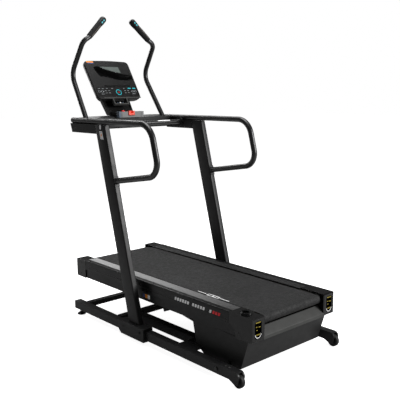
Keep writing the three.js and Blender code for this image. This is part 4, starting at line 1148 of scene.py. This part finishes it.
def roller_cheeks():
    """Plates that close the rear caps towards the belt, with a hole for the roller's shaft."""
    roller_y, roller_z = middle("drive_roller").y, middle("drive_roller").z
    for side, sign in SIDES.items():
        lo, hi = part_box(f"{side}_rear_cap")
        bottom, top = lo.z + 0.6 * MM, DECK_TOP - 5 * MM
        rear, front = lo.y + 1 * MM, hi.y - 4 * MM
        outline = [(rear, bottom), (front, bottom + 62 * MM), (front, top), (rear, top)]
        plate = bmesh.new()
        extruded(plate, outline, on_side(sign * 0.2425, sign), 5 * MM)
        hole = bmesh.new()
        start = (sign * 0.26 - 20 * MM, roller_y, roller_z)
        turned(hole, [(0, 10 * MM), (40 * MM, 10 * MM)], start, (1, 0, 0), 32)
        bm = carved(plate, [hole])
        finish_piece(f"{side}_cheek", bm, cap_black, "deck", bevel=0.6 * MM)


# The bars on a cap's label: width and offset across in millimetres, height above the floor in metres.
LABEL_BARS = ((36, 0, 0.327), (10, -12, 0.305), (14, 9, 0.303), (8, -9, 0.288), (30, 0, 0.264))


def cap_labels():
    """Small dark labels on the rear end caps: plain gold bars and a pale rounded underline."""
    place = on_rear(low("left_rear_cap").y)
    for side in SIDES:
        x = middle(f"{side}_rear_cap").x
        plate = rounded(50 * MM, 92 * MM, 14 * MM, centre=(x, 0.288))
        slab(f"{side}_label", plate, place, -0.1 * MM, lens_black, "deck", "cap_plastic", 0.0)
        bars = [rounded(w * MM, 5 * MM, 2 * MM, centre=(x + dx * MM, z)) for w, dx, z in LABEL_BARS]
        slabs(f"{side}_label_bars", bars, place, 0.25 * MM, mark_gold, "deck", "cap_plastic", -0.1 * MM)
        under = []
        for across, fall, turns in ((23, 21, range(16, 33)), (20, 17.5, range(32, 15, -1))):
            for i in turns:
                a = math.pi * i / 16
                under.append((x + across * MM * math.cos(a), 0.2655 + fall * MM * math.sin(a)))
        slab(f"{side}_label_underline", under, place, 0.25 * MM, mark_white, "deck", "cap_plastic", -0.1 * MM)


def deck_shell():
    """The caps, covers, frame and drive, as the CAD has them but with finished edges."""
    for side in SIDES:
        refined(f"{side}_front_cap", cap_black, 3.0 * MM)
        refined(f"{side}_rear_cap", cap_black, 2.4 * MM)
    for node, material, bevel in (
        ("rear_cover", cover_grey, 1.5),
        ("motor_housing", housing_black, 1.4),
        ("deck_frame", frame_black, 1.4),
        ("running_board", board_black, 1.0),
        ("front_roller", dark_steel, 0.8),
        ("drive_roller", dark_steel, 0.8),
        ("drive_belt", tyre, 0.5),
        ("drive_motor", motor_paint, 1.5),
        ("motor_rotor", bright_steel, 0.6),
        ("power_inlet", cap_black, 0.8),
        ("power_switch", signal_red, 0.8),
    ):
        refined(node, material, bevel * MM)


def deck_screws():
    """Screws on the end caps and in the ends of the foot rails."""

    def screws(name, points, axis, slot, head, height):
        bolts(name, points, axis, dark_steel, "deck", slot, head * MM, height * MM)

    for side, sign in SIDES.items():
        lo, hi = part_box(f"{side}_rear_cap")
        x = lo.x if sign < 0 else hi.x
        outward = (sign, 0, 0)
        screws(f"{side}_cap_screw", [(x, -0.780, 0.256)], outward, "cap_plastic", 5, 1.6)
        front_y = middle(f"{side}_front_cap").y
        points = [(x, front_y, z) for z in (0.255, 0.325)]
        screws(f"{side}_front_screws", points, outward, "cap_plastic", 4.5, 1.4)
        tops = [(sign * 0.29, y, DECK_TOP - 0.3 * MM) for y in (RAIL_FRONT - 0.03, RAIL_REAR + 0.03)]
        screws(f"{side}_rail_screws", tops, (0, 0, 1), "foot_rail_grey", 4, 0.28)


belt()
for side_name, side_sign in SIDES.items():
    foot_rail(side_name, side_sign)
side_marks()
belt_mark()
deck_shell()
roller_cheeks()
cap_labels()
deck_screws()


# ---------- base frame, wheels and feet ----------
def base_frame():
    """Rails, sockets, cross tubes and the lift, as the CAD has them but with finished edges."""
    for side in SIDES:
        refined(f"{side}_base_rail", frame_black, 2.5 * MM)
        refined(f"{side}_upright_socket", frame_black, 2.5 * MM)
    refined("front_cross_tube", frame_black, 2.5 * MM)
    refined("mid_cross_tube", frame_black, 2.0 * MM)
    refined("lift_subframe", frame_black, 2.0 * MM)
    refined("lift_arm", frame_black, 1.5 * MM)
    refined("lift_motor", motor_paint, 1.5 * MM)
    refined("lift_tube", bright_steel, 0.6 * MM)
    refined("pivot_shaft", dark_steel, 0.8 * MM)


def base_bolts():
    """Socket-head screws that hold the sockets to the rails, and two in the top of the rails' rear ends."""
    for side, sign in SIDES.items():
        lo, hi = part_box(f"{side}_upright_socket")
        x = lo.x if sign < 0 else hi.x
        points = [(x, y, 0.078) for y in (lo.y + 0.035, hi.y - 0.055)]
        look = (dark_steel, "stand", "frame_paint")
        bolts(f"{side}_socket_bolts", points, (-sign, 0, 0), *look, 7 * MM, 0.5 * MM)
        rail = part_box(f"{side}_base_rail")
        middle_x = sign * 0.391
        tops = [(middle_x, y, rail[1].z) for y in (-0.775, -0.745)]
        bolts(f"{side}_rail_bolts", tops, (0, 0, 1), dark_steel, "stand", "frame_paint", 7 * MM, 4 * MM)


AXLE_BORE = 6.3 * MM


def castor(side):
    """Transport wheel: a rounded rubber tyre on a dished hub, both open for the axle."""
    node = f"{side}_wheel"
    lo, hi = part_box(node)
    radius = (hi.z - lo.z) / 2
    width = hi.x - lo.x
    origin = (lo.x, (lo.y + hi.y) / 2, (lo.z + hi.z) / 2)
    shoulder = 4 * MM
    tread = bmesh.new()
    profile = [(3 * MM, radius * 0.66), (0.4 * MM, radius * 0.7), (0.2 * MM, radius - shoulder)]
    for i in range(7):
        a = math.pi / 2 * i / 6
        profile.append((0.2 * MM + shoulder * (1 - math.cos(a)), radius - shoulder * (1 - math.sin(a))))
    mirrored = [(width - along, r) for along, r in reversed(profile)]
    turned(tread, profile + mirrored, origin, (1, 0, 0), 64, bored=True)
    finish_piece(f"{side}_tyre", tread, tyre, node, [node])
    hub = bmesh.new()
    dish = ((2.2, 0.3), (1.2, 0.34), (2.4, 0.42), (2.6, 0.6), (1.4, 0.66), (2.9, 0.7))
    face = [(2.2 * MM, AXLE_BORE)] + [(depth * MM, radius * share) for depth, share in dish]
    turned(hub, face + [(width - a, r) for a, r in reversed(face)], origin, (1, 0, 0), 48, bored=True)
    finish_piece(f"{side}_hub", hub, shell_black, node)


def levelling_foot(side):
    """Rubber pad on a threaded stem with its lock nut."""
    node = f"{side}_foot"
    lo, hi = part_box(node)
    x, y = (lo.x + hi.x) / 2, (lo.y + hi.y) / 2
    radius = (hi.x - lo.x) / 2
    pad = bmesh.new()
    shares = ((0, 0.9), (1, 0.97), (3, 1), (6, 0.98), (9, 0.85), (11, 0.6), (13, 0.45), (20, 0.36))
    turned(pad, [(up * MM, radius * share) for up, share in shares], (x, y, lo.z), (0, 0, 1))
    finish_piece(f"{side}_foot_pad", pad, tyre, node, [node])
    stem = bmesh.new()
    thread = [(17 * MM, 5.2 * MM)]
    pitch = 1.5 * MM
    along = 18 * MM
    while along < hi.z - lo.z - pitch:
        thread += [(along, 6 * MM), (along + pitch / 2, 5.2 * MM)]
        along += pitch
    turned(stem, thread, (x, y, lo.z), (0, 0, 1), 32)
    finish_piece(f"{side}_foot_stem", stem, dark_steel, node)
    nut = bmesh.new()
    turned(nut, [(21 * MM, 10 * MM), (29 * MM, 10 * MM)], (x, y, lo.z), (0, 0, 1), 6)
    finish_piece(f"{side}_foot_nut", nut, bright_steel, node, bevel=0.8 * MM)


base_frame()
base_bolts()
for side_name in SIDES:
    castor(side_name)
    levelling_foot(side_name)


# ---------- floor, light and camera ----------
def floor():
    """A plain pale floor: it glows so that it stays pale under the machine, and is darker in reflections."""
    material = bpy.data.materials.new("pale_floor")
    material.use_nodes = True
    shader = material.node_tree.nodes["Principled BSDF"]
    shader.inputs["Roughness"].default_value = 0.85
    shader.inputs["Emission Color"].default_value = (1, 1, 1, 1)
    seen = material.node_tree.nodes.new("ShaderNodeLightPath").outputs["Is Camera Ray"]
    glow = material.node_tree.nodes.new("ShaderNodeMapRange")
    glow.inputs["To Min"].default_value = 0.06
    glow.inputs["To Max"].default_value = 0.93
    shade = material.node_tree.nodes.new("ShaderNodeMapRange")
    shade.inputs["To Min"].default_value = 0.45
    shade.inputs["To Max"].default_value = 0.93
    material.node_tree.links.new(seen, shade.inputs["Value"])
    material.node_tree.links.new(shade.outputs["Result"], shader.inputs["Base Color"])
    material.node_tree.links.new(seen, glow.inputs["Value"])
    material.node_tree.links.new(glow.outputs["Result"], shader.inputs["Emission Strength"])
    bm = bmesh.new()
    bmesh.ops.create_grid(bm, x_segments=1, y_segments=1, size=30)
    mesh = bpy.data.meshes.new("floor")
    bm.to_mesh(mesh)
    bm.free()
    mesh.materials.append(material)
    obj = bpy.data.objects.new("floor", mesh)
    bpy.context.scene.collection.objects.link(obj)


def soft_light(name, place, size, power):
    """An area light that faces the middle of the machine."""
    data = bpy.data.lights.new(name, "AREA")
    data.shape = "RECTANGLE"
    data.size, data.size_y = size
    data.energy = power
    lamp = bpy.data.objects.new(name, data)
    lamp.location = place
    lamp.rotation_euler = (Vector((0, 0, 0.8)) - Vector(place)).to_track_quat("-Z", "Y").to_euler()
    bpy.context.scene.collection.objects.link(lamp)


def studio():
    """White surroundings as the camera sees them, dimmer as they light the machine, and four soft lights."""
    world = bpy.data.worlds.new("studio")
    bpy.context.scene.world = world
    world.use_nodes = True
    nodes = world.node_tree.nodes
    background = nodes["Background"]
    background.inputs["Color"].default_value = (1, 1, 1, 1)
    seen = nodes.new("ShaderNodeLightPath").outputs["Is Camera Ray"]
    strength = nodes.new("ShaderNodeMapRange")
    strength.inputs["To Min"].default_value = 0.1
    strength.inputs["To Max"].default_value = 1.0
    world.node_tree.links.new(seen, strength.inputs["Value"])
    world.node_tree.links.new(strength.outputs["Result"], background.inputs["Strength"])
    soft_light("key", (2.6, -4.4, 2.6), (1.6, 2.4), 250)
    soft_light("top", (0.4, 0.6, 4.6), (2.4, 3.6), 130)
    soft_light("front", (1.3, 3.4, 3.4), (2.2, 1.2), 40)
    soft_light("left_edge", (-0.5, 4.4, 1.9), (0.5, 2.6), 38)


def camera():
    """The view from behind and to the left, just above the handrails."""
    azimuth, elevation = math.radians(-42.1), math.radians(9.8)
    target = Vector((0.0012, -0.124, 0.8187))
    distance = 3.8154
    back = Vector(
        (
            math.sin(azimuth) * math.cos(elevation),
            -math.cos(azimuth) * math.cos(elevation),
            math.sin(elevation),
        )
    )
    data = bpy.data.cameras.new("camera")
    data.sensor_width = 36
    data.lens = 57.0
    view = bpy.data.objects.new("camera", data)
    view.location = target + back * distance
    roll = Matrix.Rotation(math.radians(-0.3), 4, "Z")
    turn = (-back).to_track_quat("-Z", "Y").to_matrix().to_4x4() @ roll
    view.rotation_euler = turn.to_euler()
    bpy.context.scene.collection.objects.link(view)
    bpy.context.scene.camera = view


floor()
studio()
camera()
bpy.context.scene.view_settings.view_transform = "Standard"
